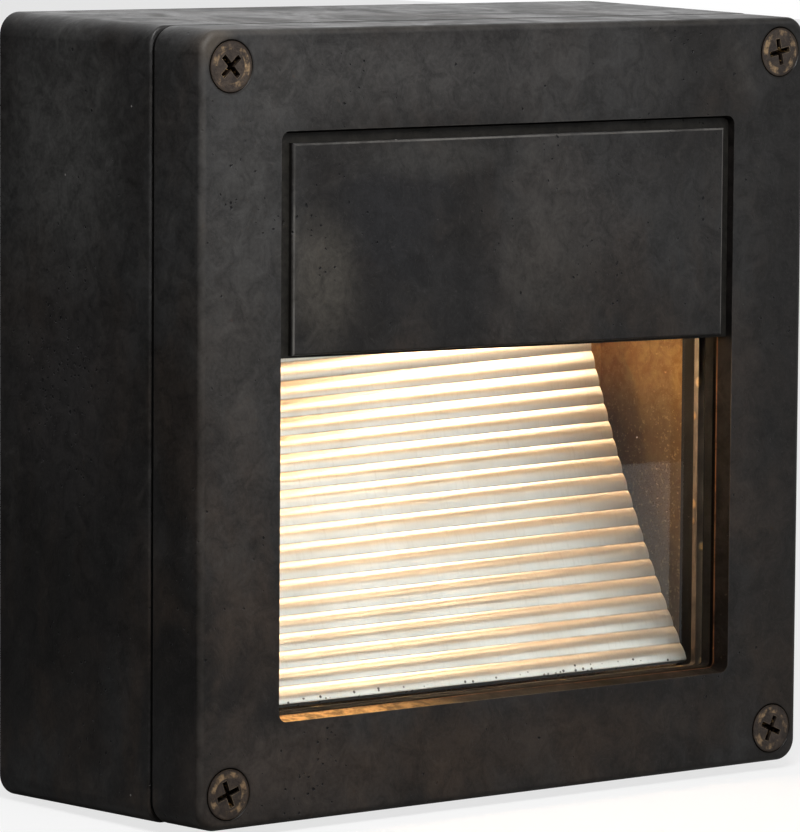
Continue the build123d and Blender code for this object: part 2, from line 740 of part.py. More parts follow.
# Filament: a coil across the lamp on two straight legs that stand on the pinch
with BuildPart() as lamp_filament:
    with BuildSketch(Plane.XY.offset(lamp_z - filament_span / 2)):
        with Locations((filament_x, -lamp_height)):
            Circle(filament_radius)
    extrude(amount=filament_span)
    with BuildSketch(Plane.YZ.offset(filament_x)):
        with Locations((-lamp_height, lamp_z)):
            with GridLocations(1, filament_span - 2 * filament_leg_radius, 1, 2):
                Circle(filament_leg_radius)
    extrude(amount=pinch_start_x - pinch_plug_length - filament_x)
lamp_filament.part.label = "lamp_filament"
export_step(lamp_filament.part, "parts/lamp_filament.step")

# Two contact pins of the lamp
with BuildPart() as lamp_pins:
    with BuildSketch(Plane.YZ.offset(pinch_end_x)):
        with Locations((-lamp_height, lamp_z)):
            with GridLocations(1, pin_pitch, 1, 2):
                Circle(pin_radius)
    extrude(amount=pin_length)
lamp_pins.part.label = "lamp_pins"
export_step(lamp_pins.part, "parts/lamp_pins.step")

# Terminal block with three ways
with BuildPart() as terminal_block:
    with BuildSketch(Plane.XZ.offset(back_wall)):
        with Locations((block_x, block_z)):
            RectangleRounded(block_width, block_span, block_round)
    extrude(amount=block_height)
    with BuildSketch(Plane.XY.offset(block_z - block_span / 2)):
        with Locations(*[(x, -way_centre) for x in way_places]):
            Circle(way_bore_radius)
    extrude(amount=block_span, mode=Mode.SUBTRACT)
    with BuildSketch(Plane.XZ.offset(way_centre)):
        with Locations(*clamp_places):
            Circle(clamp_screw_radius + thread_gap)
    extrude(amount=block_height - way_height, mode=Mode.SUBTRACT)
    with BuildSketch(Plane.XZ.offset(back_wall)):
        with Locations((block_screw_x, block_z)):
            Circle(small_hole_radius)
    extrude(amount=block_height, mode=Mode.SUBTRACT)
    with BuildSketch(Plane.XZ.offset(block_front - block_sink)):
        with Locations((block_screw_x, block_z)):
            Circle(small_sink_radius)
    extrude(amount=block_sink, mode=Mode.SUBTRACT)
terminal_block.part.label = "terminal_block"
export_step(terminal_block.part, "parts/terminal_block.step")

# Six clamp screws that press on the leads in the terminal block
with BuildPart() as terminal_clamp_screws:
    clamp_tip = way_centre + lead_radius + thread_gap
    with BuildSketch(Plane.XZ.offset(clamp_tip)):
        with Locations(*clamp_places):
            Circle(clamp_screw_radius)
    extrude(amount=block_front - clamp_sink - clamp_tip)
    with BuildSketch(Plane.XZ.offset(block_front - clamp_sink)):
        with Locations(*clamp_places):
            Rectangle(2 * clamp_screw_radius, clamp_slot_width)
    extrude(amount=-clamp_slot_depth, mode=Mode.SUBTRACT)
terminal_clamp_screws.part.label = "terminal_clamp_screws"
export_step(terminal_clamp_screws.part, "parts/terminal_clamp_screws.step")

# Screw that holds the terminal block to the back wall
with BuildPart() as terminal_block_screw:
    block_screw_top = block_front - block_sink + small_head_height
    with Locations(Plane.XZ * Location((block_screw_x, block_z, block_screw_top))):
        pan_screw(block_height - block_sink + wall_screw_bite)
terminal_block_screw.part.label = "terminal_block_screw"
export_step(terminal_block_screw.part, "parts/terminal_block_screw.step")

# Earth lug: a ring with a tail that carries a crimped barrel, turned towards the terminal block
with BuildPart() as earth_lug:
    with BuildSketch(Plane.XZ.offset(lug_seat)):
        with Locations(Location((earth_x, earth_z), lug_turn)):
            Circle(lug_radius)
            with Locations(((barrel_start + barrel_length) / 2, 0)):
                Rectangle(barrel_start + barrel_length, lug_width)
            Circle(small_hole_radius, mode=Mode.SUBTRACT)
    extrude(amount=lug_thickness)
    with BuildSketch(barrel_plane):
        Circle(barrel_radius)
    extrude(amount=barrel_length)
    with BuildSketch(barrel_plane):
        Circle(barrel_bore_radius)
    extrude(amount=barrel_length, mode=Mode.SUBTRACT)
earth_lug.part.label = "earth_lug"
export_step(earth_lug.part, "parts/earth_lug.step")

# Washer between the earth lug and the head of its screw
with BuildPart() as earth_washer:
    with BuildSketch(Plane.XZ.offset(lug_seat + lug_thickness)):
        with Locations((earth_x, earth_z)):
            Circle(washer_radius)
            Circle(small_hole_radius, mode=Mode.SUBTRACT)
    extrude(amount=washer_thickness)
earth_washer.part.label = "earth_washer"
export_step(earth_washer.part, "parts/earth_washer.step")

# Earth screw
with BuildPart() as earth_screw:
    earth_screw_top = lug_seat + lug_thickness + washer_thickness + small_head_height
    with Locations(Plane.XZ * Location((earth_x, earth_z, earth_screw_top))):
        pan_screw(earth_screw_grip)
earth_screw.part.label = "earth_screw"
export_step(earth_screw.part, "parts/earth_screw.step")

# Neutral lead from the terminal block, behind the reflector, to the lampholder
with BuildPart() as neutral_lead:
    lead([(way_places[1], way_centre, lead_end_z), (way_places[1], way_centre, neutral_turn_z),
          *neutral_way, (neutral_x, lead_rise_height, neutral_z),
          (neutral_x, holder_back + lead_hole_depth, neutral_z)])
neutral_lead.part.label = "neutral_lead"
export_step(neutral_lead.part, "parts/neutral_lead.step")

# Live lead beside it
with BuildPart() as live_lead:
    lead([(way_places[2], way_centre, lead_end_z), (way_places[2], way_centre, live_turn_z),
          *live_way, (live_x, lead_rise_height, live_z),
          (live_x, holder_back + lead_hole_depth, live_z)])
live_lead.part.label = "live_lead"
export_step(live_lead.part, "parts/live_lead.step")

# Earth lead from the terminal block to the lug
with BuildPart() as earth_lead:
    lead([(way_places[0], way_centre, lead_end_z), (way_places[0], way_centre, earth_corner_z),
          (barrel_stop.X, way_centre, barrel_stop.Z)])
earth_lead.part.label = "earth_lead"
export_step(earth_lead.part, "parts/earth_lead.step")
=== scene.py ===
import math

import bmesh
import bpy
from mathutils import Matrix, Vector


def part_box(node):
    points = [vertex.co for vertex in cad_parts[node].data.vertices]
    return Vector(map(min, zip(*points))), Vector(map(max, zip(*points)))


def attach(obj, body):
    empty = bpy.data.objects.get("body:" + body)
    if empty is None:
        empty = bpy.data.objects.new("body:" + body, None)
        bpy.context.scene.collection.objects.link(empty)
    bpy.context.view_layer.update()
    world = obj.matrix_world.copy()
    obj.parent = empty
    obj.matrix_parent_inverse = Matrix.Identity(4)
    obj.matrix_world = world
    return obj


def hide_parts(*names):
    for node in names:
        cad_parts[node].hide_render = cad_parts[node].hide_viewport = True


bl_info = {
    "name": "Outdoor Wall Downlight",
    "version": (1, 0, 0),
    "blender": (4, 5, 0),
    "location": "3D View > Sidebar > Wall Downlight",
    "description": "Dresses the packed wall downlight: patina, ribbed reflector and lit lamp",
    "category": "Object",
}

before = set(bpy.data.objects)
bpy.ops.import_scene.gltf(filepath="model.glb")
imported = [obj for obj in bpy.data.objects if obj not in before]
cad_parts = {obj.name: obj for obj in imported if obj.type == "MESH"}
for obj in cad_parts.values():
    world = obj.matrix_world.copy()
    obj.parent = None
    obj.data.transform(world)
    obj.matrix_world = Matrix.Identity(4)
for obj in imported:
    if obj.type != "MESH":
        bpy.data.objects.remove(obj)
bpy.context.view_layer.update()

# Places on the castings, in metres: y runs from the wall at 0 to the front, which is negative
BOX_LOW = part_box("back_box")[0]
COVER_LOW, COVER_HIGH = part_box("front_cover")
FRONT = COVER_LOW[1]
SEAM = COVER_HIGH[1]
SIDE = COVER_HIGH[0]
WINDOW_HALF, WINDOW_LOW, WINDOW_TOP = 0.0620, -0.0613, 0.0614
WINDOW_REAR = FRONT + 0.0052
MOAT_FLOOR = FRONT + 0.0015
PAD_HALF, PAD_TOP = 0.0590, 0.0589
SCREW_PLACE = 0.075
# Centre of the lighter top-left corner of the front: painted highlight and wear
CORNER_HIGHLIGHT_AND_WEAR_PLACE = (-0.0785, FRONT, 0.0790)

# Half widths between which the inside of the castings gives way to the patina outside
INSIDE_HALF = (0.0800, 0.0806)

# Where along x the lamp glows most, and how far its glow reaches
GLOW_CENTRE, GLOW_REACH = 0.016, 0.030

# The reflector's mesh: its map, steps along it and holes
SHEET_MAP = "Sheet"
RIB_STEPS, BACK_STEPS, SHEET_COLUMNS = 10, 40, 24
SCREW_HEAD_RADIUS, SCREW_HOLE_RADIUS = 0.0029, 0.0017
HOLE_SEGMENTS, HOLE_DEPTH = 32, 0.03
SHARP_ANGLE = math.radians(25)

# Stage, in metres
FLOOR_MIDDLE, FLOOR_HALF = (0.3, 2.315), (3.0, 2.85)
FRONT_BOX_PLACE, FRONT_BOX_AIM, FRONT_BOX_SIZE = (-0.16, -0.30, 0.30), (0, -0.05, 0), 0.18
TOP_BOX_PLACE, TOP_BOX_AIM, TOP_BOX_SIZE = (0.15, 0.15, 1.1), (0, 0, 0), 0.8

# Camera, as fitted to the photograph: lens and shifts in pixels of its longer side, then azimuth,
# elevation and roll in degrees, and its aim, the aim's shift right and up, and distance in metres
PHOTO_SIDE, SENSOR_WIDTH = 832, 36
LENS_PIXELS, SHIFT_PIXELS = 5837.68, (-1.48, -13.05)
CAMERA_ANGLES = (-38.359, 5.785, 0.401)
CAMERA_AIM, AIM_SHIFT, CAMERA_DISTANCE = (0, -0.033, 0), (-0.000743, -0.001236), 1.27111

# Colours laid over the patina or beside it; where there are two, noise mixes them
PATINA_PALE, SWIRL = (0.052, 0.048, 0.044), (0.07, 0.067, 0.062)
PIT, PALE_SPECK = (0.0035, 0.0035, 0.0045), (0.42, 0.40, 0.38)
# The middle gold is painted shade, laid on the box's inside towards its foot
GOLD_SHADE, GOLD_PAINTED_SHADE, GOLD_GLINT = (0.50, 0.27, 0.075), (0.15, 0.098, 0.052), (0.90, 0.66, 0.30)
CORNER_HIGHLIGHT_AND_WEAR = (0.12, 0.095, 0.070)
WALL_BRONZE = (0.010, 0.0090, 0.0085), (0.024, 0.0205, 0.0190)
BARE_SILL = (0.30, 0.175, 0.070), (0.74, 0.45, 0.18)
WALL_HIGHLIGHT_LINE, WALL_REAR = (0.20, 0.095, 0.045), (0.0025, 0.0018, 0.0014)
INSIDE_NEAR_BLACK = (0.0028, 0.0023, 0.0019), (0.0012, 0.0010, 0.0009)
SCREW_GAP_SHADE = (0.005, 0.0035, 0.0025)
MOAT_CRUST_AND_SHEEN = (0.050, 0.048, 0.040), (0.210, 0.196, 0.160)
# Painted shade for the moat, and a painted highlight for the pad's edge
MOAT_SHADE, PAD_EDGE_HIGHLIGHT = (0.0045, 0.0038, 0.0032), (0.115, 0.110, 0.103)
PLATE_REAR = (0.270, 0.240, 0.205), (0.400, 0.360, 0.310)
PLATE_REAR_END = (0.050, 0.036, 0.026)
ALUMINIUM = (0.90, 0.905, 0.91), (0.83, 0.825, 0.815)
DRAWN_LINE, VALLEY, FLECK = (0.62, 0.60, 0.57), (0.40, 0.38, 0.36), (0.05, 0.04, 0.035)
SCREW_TARNISH = (0.034, 0.026, 0.022), (0.088, 0.068, 0.055)
SCREW_WORN, SCREW_RIM, SCREW_RING_SHADE = (0.42, 0.31, 0.19), (0.46, 0.31, 0.17), (0.016, 0.009, 0.006)
RECESS_DARK, RECESS_GLINT = (0.016, 0.008, 0.005), (0.75, 0.48, 0.20)
SEALANT = (0.042, 0.031, 0.024), (0.085, 0.062, 0.045)
SEALANT_LIT_BLOB = (0.36, 0.21, 0.08)
PANE, PANE_SHADOW = ((0.965, 1.0, 0.970), (0.935, 0.965, 0.940)), (0.93, 0.95, 0.94)

# Worked metals: name, light and dark tone, roughness and the nodes that have it
METALS = (
    ("Zinc plated steel", (0.62, 0.62, 0.60), (0.42, 0.42, 0.42), 0.34,
     ("shade_screws", "reflector_screws", "lampholder_screws", "bracket_screw",
      "terminal_block_screw", "lampholder_bracket")),
    ("Terminal brass", (0.72, 0.55, 0.27), (0.50, 0.36, 0.16), 0.30,
     ("terminal_clamp_screws", "earth_screw", "earth_washer")),
    ("Tinned copper", (0.70, 0.68, 0.65), (0.52, 0.50, 0.48), 0.36, ("earth_lug",)),
)

# Patches of the patina that are lighter or darker: centre, reach, colour and share
PATCHES = (
    ((-0.034, FRONT, 0.043), (0.017, 0.01, 0.015), (0.0140, 0.0145, 0.0165), 0.64),
    ((-0.014, FRONT, 0.026), (0.017, 0.01, 0.010), (0.0180, 0.0180, 0.0190), 0.40),
    ((-0.051, FRONT, 0.031), (0.009, 0.01, 0.013), (0.0600, 0.0540, 0.0460), 0.75),
    ((0.010, FRONT, 0.034), (0.012, 0.01, 0.014), (0.0500, 0.0450, 0.0400), 0.60),
    ((-0.022, FRONT, 0.055), (0.022, 0.01, 0.004), (0.0520, 0.0500, 0.0470), 0.45),
    ((-0.072, FRONT, 0.030), (0.010, 0.01, 0.050), (0.0480, 0.0460, 0.0440), 0.60),
    ((-0.035, FRONT, 0.072), (0.040, 0.01, 0.009), (0.0470, 0.0450, 0.0430), 0.55),
    ((-0.083, -0.022, 0.055), (0.02, 0.020, 0.026), (0.0600, 0.0590, 0.0570), 0.85),
    ((-0.083, -0.030, -0.035), (0.02, 0.018, 0.035), (0.0090, 0.0080, 0.0078), 0.65),
    ((-0.083, -0.024, 0.004), (0.02, 0.020, 0.026), (0.0400, 0.0370, 0.0370), 0.55),
    ((-0.060, FRONT, -0.072), (0.028, 0.01, 0.012), (0.0560, 0.0460, 0.0400), 0.70),
    ((0.004, FRONT, 0.072), (0.045, 0.01, 0.010), (0.0460, 0.0440, 0.0430), 0.50),
    ((0.018, FRONT, 0.044), (0.024, 0.01, 0.014), (0.0440, 0.0415, 0.0400), 0.50),
    ((0.000, FRONT, -0.072), (0.060, 0.01, 0.008), (0.0400, 0.0290, 0.0220), 0.60),
    ((0.078, FRONT, 0.010), (0.013, 0.01, 0.075), (0.0120, 0.0112, 0.0108), 0.70),
    ((0.074, FRONT, -0.060), (0.012, 0.01, 0.020), (0.0210, 0.0160, 0.0125), 0.60),
)


def colour_setting(name, description, default):
    """A colour."""
    return bpy.props.FloatVectorProperty(name=name, description=description, subtype="COLOR",
                                         size=3, min=0, max=1, default=default)


def length_setting(name, description, default):
    """A length in metres."""
    return bpy.props.FloatProperty(name=name, description=description, subtype="DISTANCE",
                                   unit="LENGTH", min=0, default=default)


def angle_setting(name, description, degrees):
    """An angle, given here in degrees."""
    return bpy.props.FloatProperty(name=name, description=description, subtype="ANGLE",
                                   unit="ROTATION", default=math.radians(degrees))


def power_setting(name, description, default):
    """The power of a light in watts."""
    return bpy.props.FloatProperty(name=name, description=description, subtype="POWER",
                                   unit="POWER", min=0, default=default)


class PatinaSettings(bpy.types.PropertyGroup):
    """Colours and wear of the dark castings."""

    dark: colour_setting("Dark patina", "Colour of the darkest clouds", (0.0120, 0.0108, 0.0102))
    cool: colour_setting("Cool patches", "Colour of the bluish grey clouds",
                         (0.0300, 0.0296, 0.0296))
    warm: colour_setting("Warm patches", "Colour of the brown clouds", (0.0430, 0.0320, 0.0250))
    # Worn metal also colours the painted highlights on the cover's edges
    worn: colour_setting("Worn metal", "Colour where the patina is rubbed thin",
                         (0.085, 0.078, 0.070))
    inside: colour_setting("Raw inside", "Colour of the raw metal inside the box",
                           (0.74, 0.50, 0.19))
    roughness: bpy.props.FloatProperty(
        name="Roughness", description="Mean roughness of the patina", subtype="FACTOR",
        min=0, max=1, default=0.44)


class ReflectorSettings(bpy.types.PropertyGroup):
    """Sizes of the ribbed sheet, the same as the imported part's."""

    width: length_setting("Width", "Width of the sheet", 0.119)
    rib_pitch: length_setting("Rib pitch", "Length of one rib along the sheet", 0.00413)
    rib_height: length_setting("Rib height", "How far a rib stands out", 0.00042)
    rib_count: bpy.props.IntProperty(
        name="Ribs", description="Number of ribs", min=1, default=28)
    thickness: length_setting("Thickness", "Thickness of the sheet", 0.0013)
    lower_radius: length_setting("Lower bend", "Radius of the long bend", 0.330)
    upper_radius: length_setting("Upper bend", "Radius of the bend over the lamp", 0.032)
    lower_lean: angle_setting("Lean at the foot", "Lean of the sheet at its lower edge", 33.5)
    upper_lean: angle_setting("Lean at the bend", "Lean of the sheet where the upper bend starts",
                              21.0)
    left_tilt: angle_setting("Tilt of the left end", "Extra lean of the left end", 6.0)
    foot: bpy.props.FloatVectorProperty(
        name="Foot", description="Depth and height of the lower edge", subtype="TRANSLATION",
        unit="LENGTH", size=2, default=(-0.0572, -0.0596))


class LampSettings(bpy.types.PropertyGroup):
    """Light and colour of the burning lamp."""

    glow: colour_setting("Lamp colour", "Colour of the lamp's light", (1.0, 0.66, 0.39))
    strength: bpy.props.FloatProperty(
        name="Lamp strength", description="Emission of the lamp's envelope",
        min=0, soft_max=500, default=155)


class StageSettings(bpy.types.PropertyGroup):
    """Studio light and floor."""

    key_power: power_setting("Key light", "Power of the soft box in front", 1.9)
    top_power: power_setting("Top light", "Power of the soft box above", 1.9)
    fill_strength: bpy.props.FloatProperty(
        name="Room light", description="Strength of the even light from all round",
        min=0, max=1, default=0.09)
    floor_drop: length_setting("Floor gap", "How far the floor lies below the object", 0.0005)


class Nodes:
    """Short way to add and link the shader nodes of one tree."""

    def __init__(self, tree):
        self.tree = tree

    def add(self, kind, settings=None, **inputs):
        """Adds a node, sets its properties, and sets or links its inputs by name or number."""
        node = self.tree.nodes.new(kind)
        for key, value in (settings or {}).items():
            setattr(node, key, value)
        for key, value in inputs.items():
            socket = node.inputs[int(key[1:])] if key[0] == "_" and key[1:].isdigit() else (
                node.inputs[key.replace("_", " ")])
            self.feed(socket, value)
        return node

    def feed(self, socket, value):
        """Links an output to the socket, or sets the socket's own value."""
        if isinstance(value, bpy.types.NodeSocket):
            self.tree.links.new(value, socket)
        elif isinstance(value, (tuple, list)) and len(value) == 3 and socket.type == "RGBA":
            socket.default_value = (*value, 1)
        else:
            socket.default_value = value

    def math(self, operation, a, b=0.0, clamp=False):
        """A Math node's output."""
        return self.add("ShaderNodeMath", {"operation": operation, "use_clamp": clamp},
                        _0=a, _1=b).outputs[0]

    def times(self, a, b, clamp=False):
        """The product of two values."""
        return self.math("MULTIPLY", a, b, clamp)

    def plus(self, a, b):
        """The sum of two values."""
        return self.math("ADD", a, b)

    def larger(self, a, b):
        """The larger of two values."""
        return self.math("MAXIMUM", a, b)

    def ramp(self, value, low, high, to_low=0.0, to_high=1.0):
        """Maps a range of a value to another range, smoothly."""
        return self.add("ShaderNodeMapRange", {"interpolation_type": "SMOOTHSTEP"}, _0=value,
                        _1=low, _2=high, _3=to_low, _4=to_high).outputs[0]

    def noise(self, place, scale, detail=4.0, roughness=0.55, distortion=0.0):
        """A noise value."""
        return self.add("ShaderNodeTexNoise", Vector=place, Scale=scale, Detail=detail,
                        Roughness=roughness, Distortion=distortion).outputs[0]

    def blend(self, factor, a, b, mode="MIX"):
        """A colour mixed from two."""
        node = self.add("ShaderNodeMix", {"data_type": "RGBA", "blend_type": mode,
                                          "clamp_result": True})
        self.feed(node.inputs[0], factor)
        self.feed(node.inputs[6], a)
        self.feed(node.inputs[7], b)
        return node.outputs[2]

    def patch(self, place, centre, reach, ragged):
        """Mask of a soft ragged patch round a centre, with one reach in metres per axis."""
        scale = tuple(1 / r for r in reach)
        moved = self.add("ShaderNodeMapping", Vector=place, Scale=scale,
                         Location=tuple(-c * s for c, s in zip(centre, scale))).outputs[0]
        length = self.add("ShaderNodeVectorMath", {"operation": "LENGTH"},
                          _0=moved).outputs["Value"]
        return self.ramp(self.plus(length, ragged), 1.50, 0.30)

    def parts(self, place):
        """The X, Y and Z of a place."""
        node = self.add("ShaderNodeSeparateXYZ", _0=place)
        return node.outputs[0], node.outputs[1], node.outputs[2]

    def object_place(self):
        """Object coordinates."""
        return self.add("ShaderNodeTexCoord").outputs["Object"]


def shared_group(name, inputs, outputs, build):
    """The shader node group of this name, built the first time that it is asked for."""
    if name in bpy.data.node_groups:
        return bpy.data.node_groups[name]
    tree = bpy.data.node_groups.new(name, "ShaderNodeTree")
    for label, kind, default in inputs:
        socket = tree.interface.new_socket(label, in_out="INPUT", socket_type=kind)
        if default is not None:
            socket.default_value = default
    for label, kind in outputs:
        tree.interface.new_socket(label, in_out="OUTPUT", socket_type=kind)
    n = Nodes(tree)
    build(n, n.add("NodeGroupInput"), n.add("NodeGroupOutput"))
    return tree


def place_group(nodes, tree, **inputs):
    """Puts a node group in a material and returns its first output."""
    return nodes.add("ShaderNodeGroup", {"node_tree": tree}, **inputs).outputs[0]


def build_pits(n, given, out):
    """Picks a few bent cells as pits, and more of them in patches and where a cluster is."""
    place, scale, amount, cluster = given.outputs[:4]
    waves = n.add("ShaderNodeTexNoise", Vector=place, Scale=900.0, Detail=2.0).outputs["Color"]
    shift = n.add("ShaderNodeVectorMath", {"operation": "SCALE"}, _0=waves, Scale=0.0009)
    bent = n.add("ShaderNodeVectorMath", {"operation": "ADD"}, _0=place, _1=shift.outputs[0])
    cells = n.add("ShaderNodeTexVoronoi", {"feature": "F1"}, Vector=bent.outputs[0], Scale=scale)
    pick, _, size = n.parts(cells.outputs["Color"])
    dot = n.ramp(n.plus(cells.outputs["Distance"], n.times(size, 0.16)),
                 0.18, 0.36, 1.0, 0.0)
    patches = n.ramp(n.noise(place, 30.0, 3.0), 0.54, 0.66)
    patches = n.larger(patches, cluster)
    chosen = n.ramp(n.plus(pick, n.times(patches, 0.30)), 0.97, 1.00)
    mask = n.times(dot, chosen)
    n.feed(out.inputs[0], n.times(mask, amount, clamp=True))


def pits_group():
    """Small dark pits scattered over a casting, in patches."""
    return shared_group(
        "Casting pits",
        [("Place", "NodeSocketVector", None), ("Scale", "NodeSocketFloat", 900.0),
         ("Amount", "NodeSocketFloat", 0.5), ("Cluster", "NodeSocketFloat", 0.0)],
        [("Mask", "NodeSocketFloat")], build_pits)


def build_patina(n, given, out):
    """Mixes the clouds, lays the patches over them, then swirls, pits and specks."""
    place, dark, cool, warm, mean = given.outputs[:5]
    z = n.parts(place)[2]
    ragged = n.times(n.math("SUBTRACT", n.noise(place, 95.0, 4.0, 0.65), 0.5), 1.7)
    cluster = n.patch(place, (-0.083, -0.020, 0.010), (0.02, 0.015, 0.022), ragged)
    tall = n.add("ShaderNodeMapping", Vector=place, Scale=(1.0, 1.0, 0.55)).outputs[0]
    broad = n.noise(tall, 23.0, 3.0, 0.55, 0.6)
    middle = n.noise(place, 52.0, 5.0, 0.62, 1.2)
    small = n.noise(place, 190.0, 5.0, 0.68, 0.8)
    grain = n.noise(place, 1100.0, 3.0, 0.6)
    swirl = n.noise(place, 150.0, 2.0, 0.5, 5.0)
    brown = n.noise(tall, 36.0, 4.0, 0.6, 0.8)
    tone = n.blend(n.ramp(broad, 0.36, 0.62), dark, cool)
    low = n.ramp(z, 0.060, -0.075, 0.30, 0.85)
    tone = n.blend(n.times(n.ramp(brown, 0.44, 0.66), low), tone, warm)
    tone = n.blend(n.ramp(middle, 0.50, 0.30, 0.0, 0.55), tone, dark)
    tone = n.blend(n.ramp(middle, 0.56, 0.74, 0.0, 0.45), tone, PATINA_PALE)
    for centre, reach, colour, share in PATCHES:
        mask = n.patch(place, centre, reach, ragged)
        tone = n.blend(n.times(mask, share), tone, colour)
    shade = n.plus(n.ramp(small, 0.28, 0.72, 0.62, 1.30),
                   n.ramp(grain, 0.30, 0.70, -0.12, 0.12))
    grey = n.add("ShaderNodeCombineColor", _0=shade, _1=shade, _2=shade).outputs[0]
    tone = n.blend(1.0, tone, grey, "MULTIPLY")
    line = n.ramp(n.math("ABSOLUTE", n.math("SUBTRACT", swirl, 0.5)), 0.0, 0.012, 0.22, 0.0)
    tone = n.blend(line, tone, SWIRL)
    pits = place_group(n, pits_group(), Place=place, Scale=820.0, Amount=0.9, Cluster=cluster)
    tone = n.blend(pits, tone, PIT)
    specks = n.add("ShaderNodeTexVoronoi", {"feature": "F1"}, Vector=place, Scale=130.0)
    speck = n.times(n.ramp(specks.outputs["Distance"], 0.018, 0.040, 1.0, 0.0),
                    n.ramp(n.parts(specks.outputs["Color"])[1], 0.925, 0.935))
    tone = n.blend(n.times(speck, 0.55), tone, PALE_SPECK)
    n.feed(out.inputs[0], tone)
    rough = n.plus(n.ramp(middle, 0.32, 0.68, -0.07, 0.12),
                   n.ramp(small, 0.3, 0.7, -0.04, 0.05))
    n.feed(out.inputs[1], n.plus(mean, rough))
    height = n.plus(n.times(small, 0.55), n.times(grain, 0.12))
    height = n.plus(height, n.times(n.noise(place, 34.0, 3.0), 1.3))
    n.feed(out.inputs[2], n.math("SUBTRACT", height, n.times(pits, 1.1)))


def patina_group():
    """Clouds, brush swirls, pits and pale specks of a hand-finished dark patina."""
    return shared_group(
        "Dark patina",
        [("Place", "NodeSocketVector", None), ("Dark", "NodeSocketColor", None),
         ("Cool", "NodeSocketColor", None), ("Warm", "NodeSocketColor", None),
         ("Roughness", "NodeSocketFloat", 0.44)],
        [("Color", "NodeSocketColor"), ("Roughness", "NodeSocketFloat"),
         ("Height", "NodeSocketFloat")], build_patina)


def build_edges(n, given, out):
    """Finds edges where the rounded normal leaves the true one, and breaks them up by noise."""
    bevel = n.add("ShaderNodeBevel", {"samples": 6}, Radius=given.outputs[1])
    plain = n.add("ShaderNodeNewGeometry").outputs["Normal"]
    same = n.add("ShaderNodeVectorMath", {"operation": "DOT_PRODUCT"}, _0=bevel.outputs[0],
                 _1=plain).outputs["Value"]
    edge = n.ramp(same, 0.985, 0.80)
    broken = n.ramp(n.noise(given.outputs[0], 160.0, 5.0, 0.7), 0.35, 0.70)
    n.feed(out.inputs[0], n.times(n.times(edge, broken),
                                  given.outputs[2], clamp=True))


def edge_group():
    """Mask of the outer edges of a solid, broken up by noise."""
    return shared_group(
        "Edge wear",
        [("Place", "NodeSocketVector", None), ("Radius", "NodeSocketFloat", 0.0012),
         ("Amount", "NodeSocketFloat", 1.0)],
        [("Mask", "NodeSocketFloat")], build_edges)


def new_material(name):
    """A material with a Principled shader: the material, node helper, shader and output."""
    material = bpy.data.materials.new(name)
    material.use_nodes = True
    material.node_tree.nodes.clear()
    nodes = Nodes(material.node_tree)
    shader = nodes.add("ShaderNodeBsdfPrincipled")
    output = nodes.add("ShaderNodeOutputMaterial", Surface=shader.outputs[0])
    return material, nodes, shader, output


def add_bump(nodes, shader, height, distance):
    """Feeds a height through a Bump node to the shader's normal."""
    bump = nodes.add("ShaderNodeBump", Height=height, Distance=distance)
    nodes.feed(shader.inputs["Normal"], bump.outputs[0])


def dress(name, material):
    """Gives a CAD node its material."""
    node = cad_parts[name]
    if not node.material_slots:
        raise RuntimeError(name + " has no material slot")
    for slot in node.material_slots:
        slot.link = "OBJECT"
        slot.material = material


def between(n, value, low, high, soft):
    """Mask of the places where a value lies between two limits."""
    return n.times(n.ramp(value, low - soft, low),
                   n.ramp(value, high, high + soft, 1.0, 0.0))


def start_patina(settings, name):
    """A patina material, its node helper, shader and place, and the node of its patina group."""
    material, n, shader, _ = new_material(name)
    place = n.object_place()
    patina = n.add("ShaderNodeGroup", {"node_tree": patina_group()}, Place=place,
                   Dark=tuple(settings.dark), Cool=tuple(settings.cool),
                   Warm=tuple(settings.warm), Roughness=settings.roughness)
    shader.inputs["Specular IOR Level"].default_value = 0.20
    add_bump(n, shader, patina.outputs[2], 0.00018)
    return material, n, shader, place, patina


def box_material(settings):
    """Patina outside, raw golden metal inside the box, with painted shade towards its foot."""
    material, n, shader, place, patina = start_patina(settings, "Patina of the box")
    x, y, z = n.parts(place)
    outline = n.larger(n.math("ABSOLUTE", x), n.math("ABSOLUTE", z))
    raw = n.times(n.ramp(outline, *INSIDE_HALF, 1.0, 0.0),
                  n.ramp(y, -0.0008, -0.0004, 1.0, 0.0))
    wear = place_group(n, edge_group(), Place=place, Radius=0.0011, Amount=0.45)
    tone = n.blend(wear, patina.outputs[0], tuple(settings.worn))
    mottle = n.noise(place, 240.0, 6.0, 0.72, 0.4)
    gold = n.blend(n.ramp(mottle, 0.36, 0.64), GOLD_SHADE, tuple(settings.inside))
    # Painted shade: the gold darkens towards the foot of the box, away from the lamp near its top
    gold = n.blend(n.ramp(z, 0.006, -0.014, 0.0, 0.80), gold, GOLD_PAINTED_SHADE)
    glints = n.ramp(n.noise(place, 1300.0, 3.0, 0.7), 0.56, 0.70, 0.0, 0.5)
    gold = n.blend(glints, gold, GOLD_GLINT)
    n.feed(shader.inputs["Base Color"], n.blend(raw, tone, gold))
    n.feed(shader.inputs["Roughness"], n.larger(patina.outputs[1],
                                                n.times(raw, 0.5)))
    n.feed(shader.inputs["Metallic"],
           n.times(raw, n.ramp(mottle, 0.3, 0.7, 0.55, 0.75)))
    return material


def screw_reach(n, x, z):
    """Distance from the axis of the nearest cover screw."""
    squares = [n.math("POWER", n.math("SUBTRACT", n.math("ABSOLUTE", side), SCREW_PLACE), 2.0)
               for side in (x, z)]
    return n.math("POWER", n.plus(*squares), 0.5)


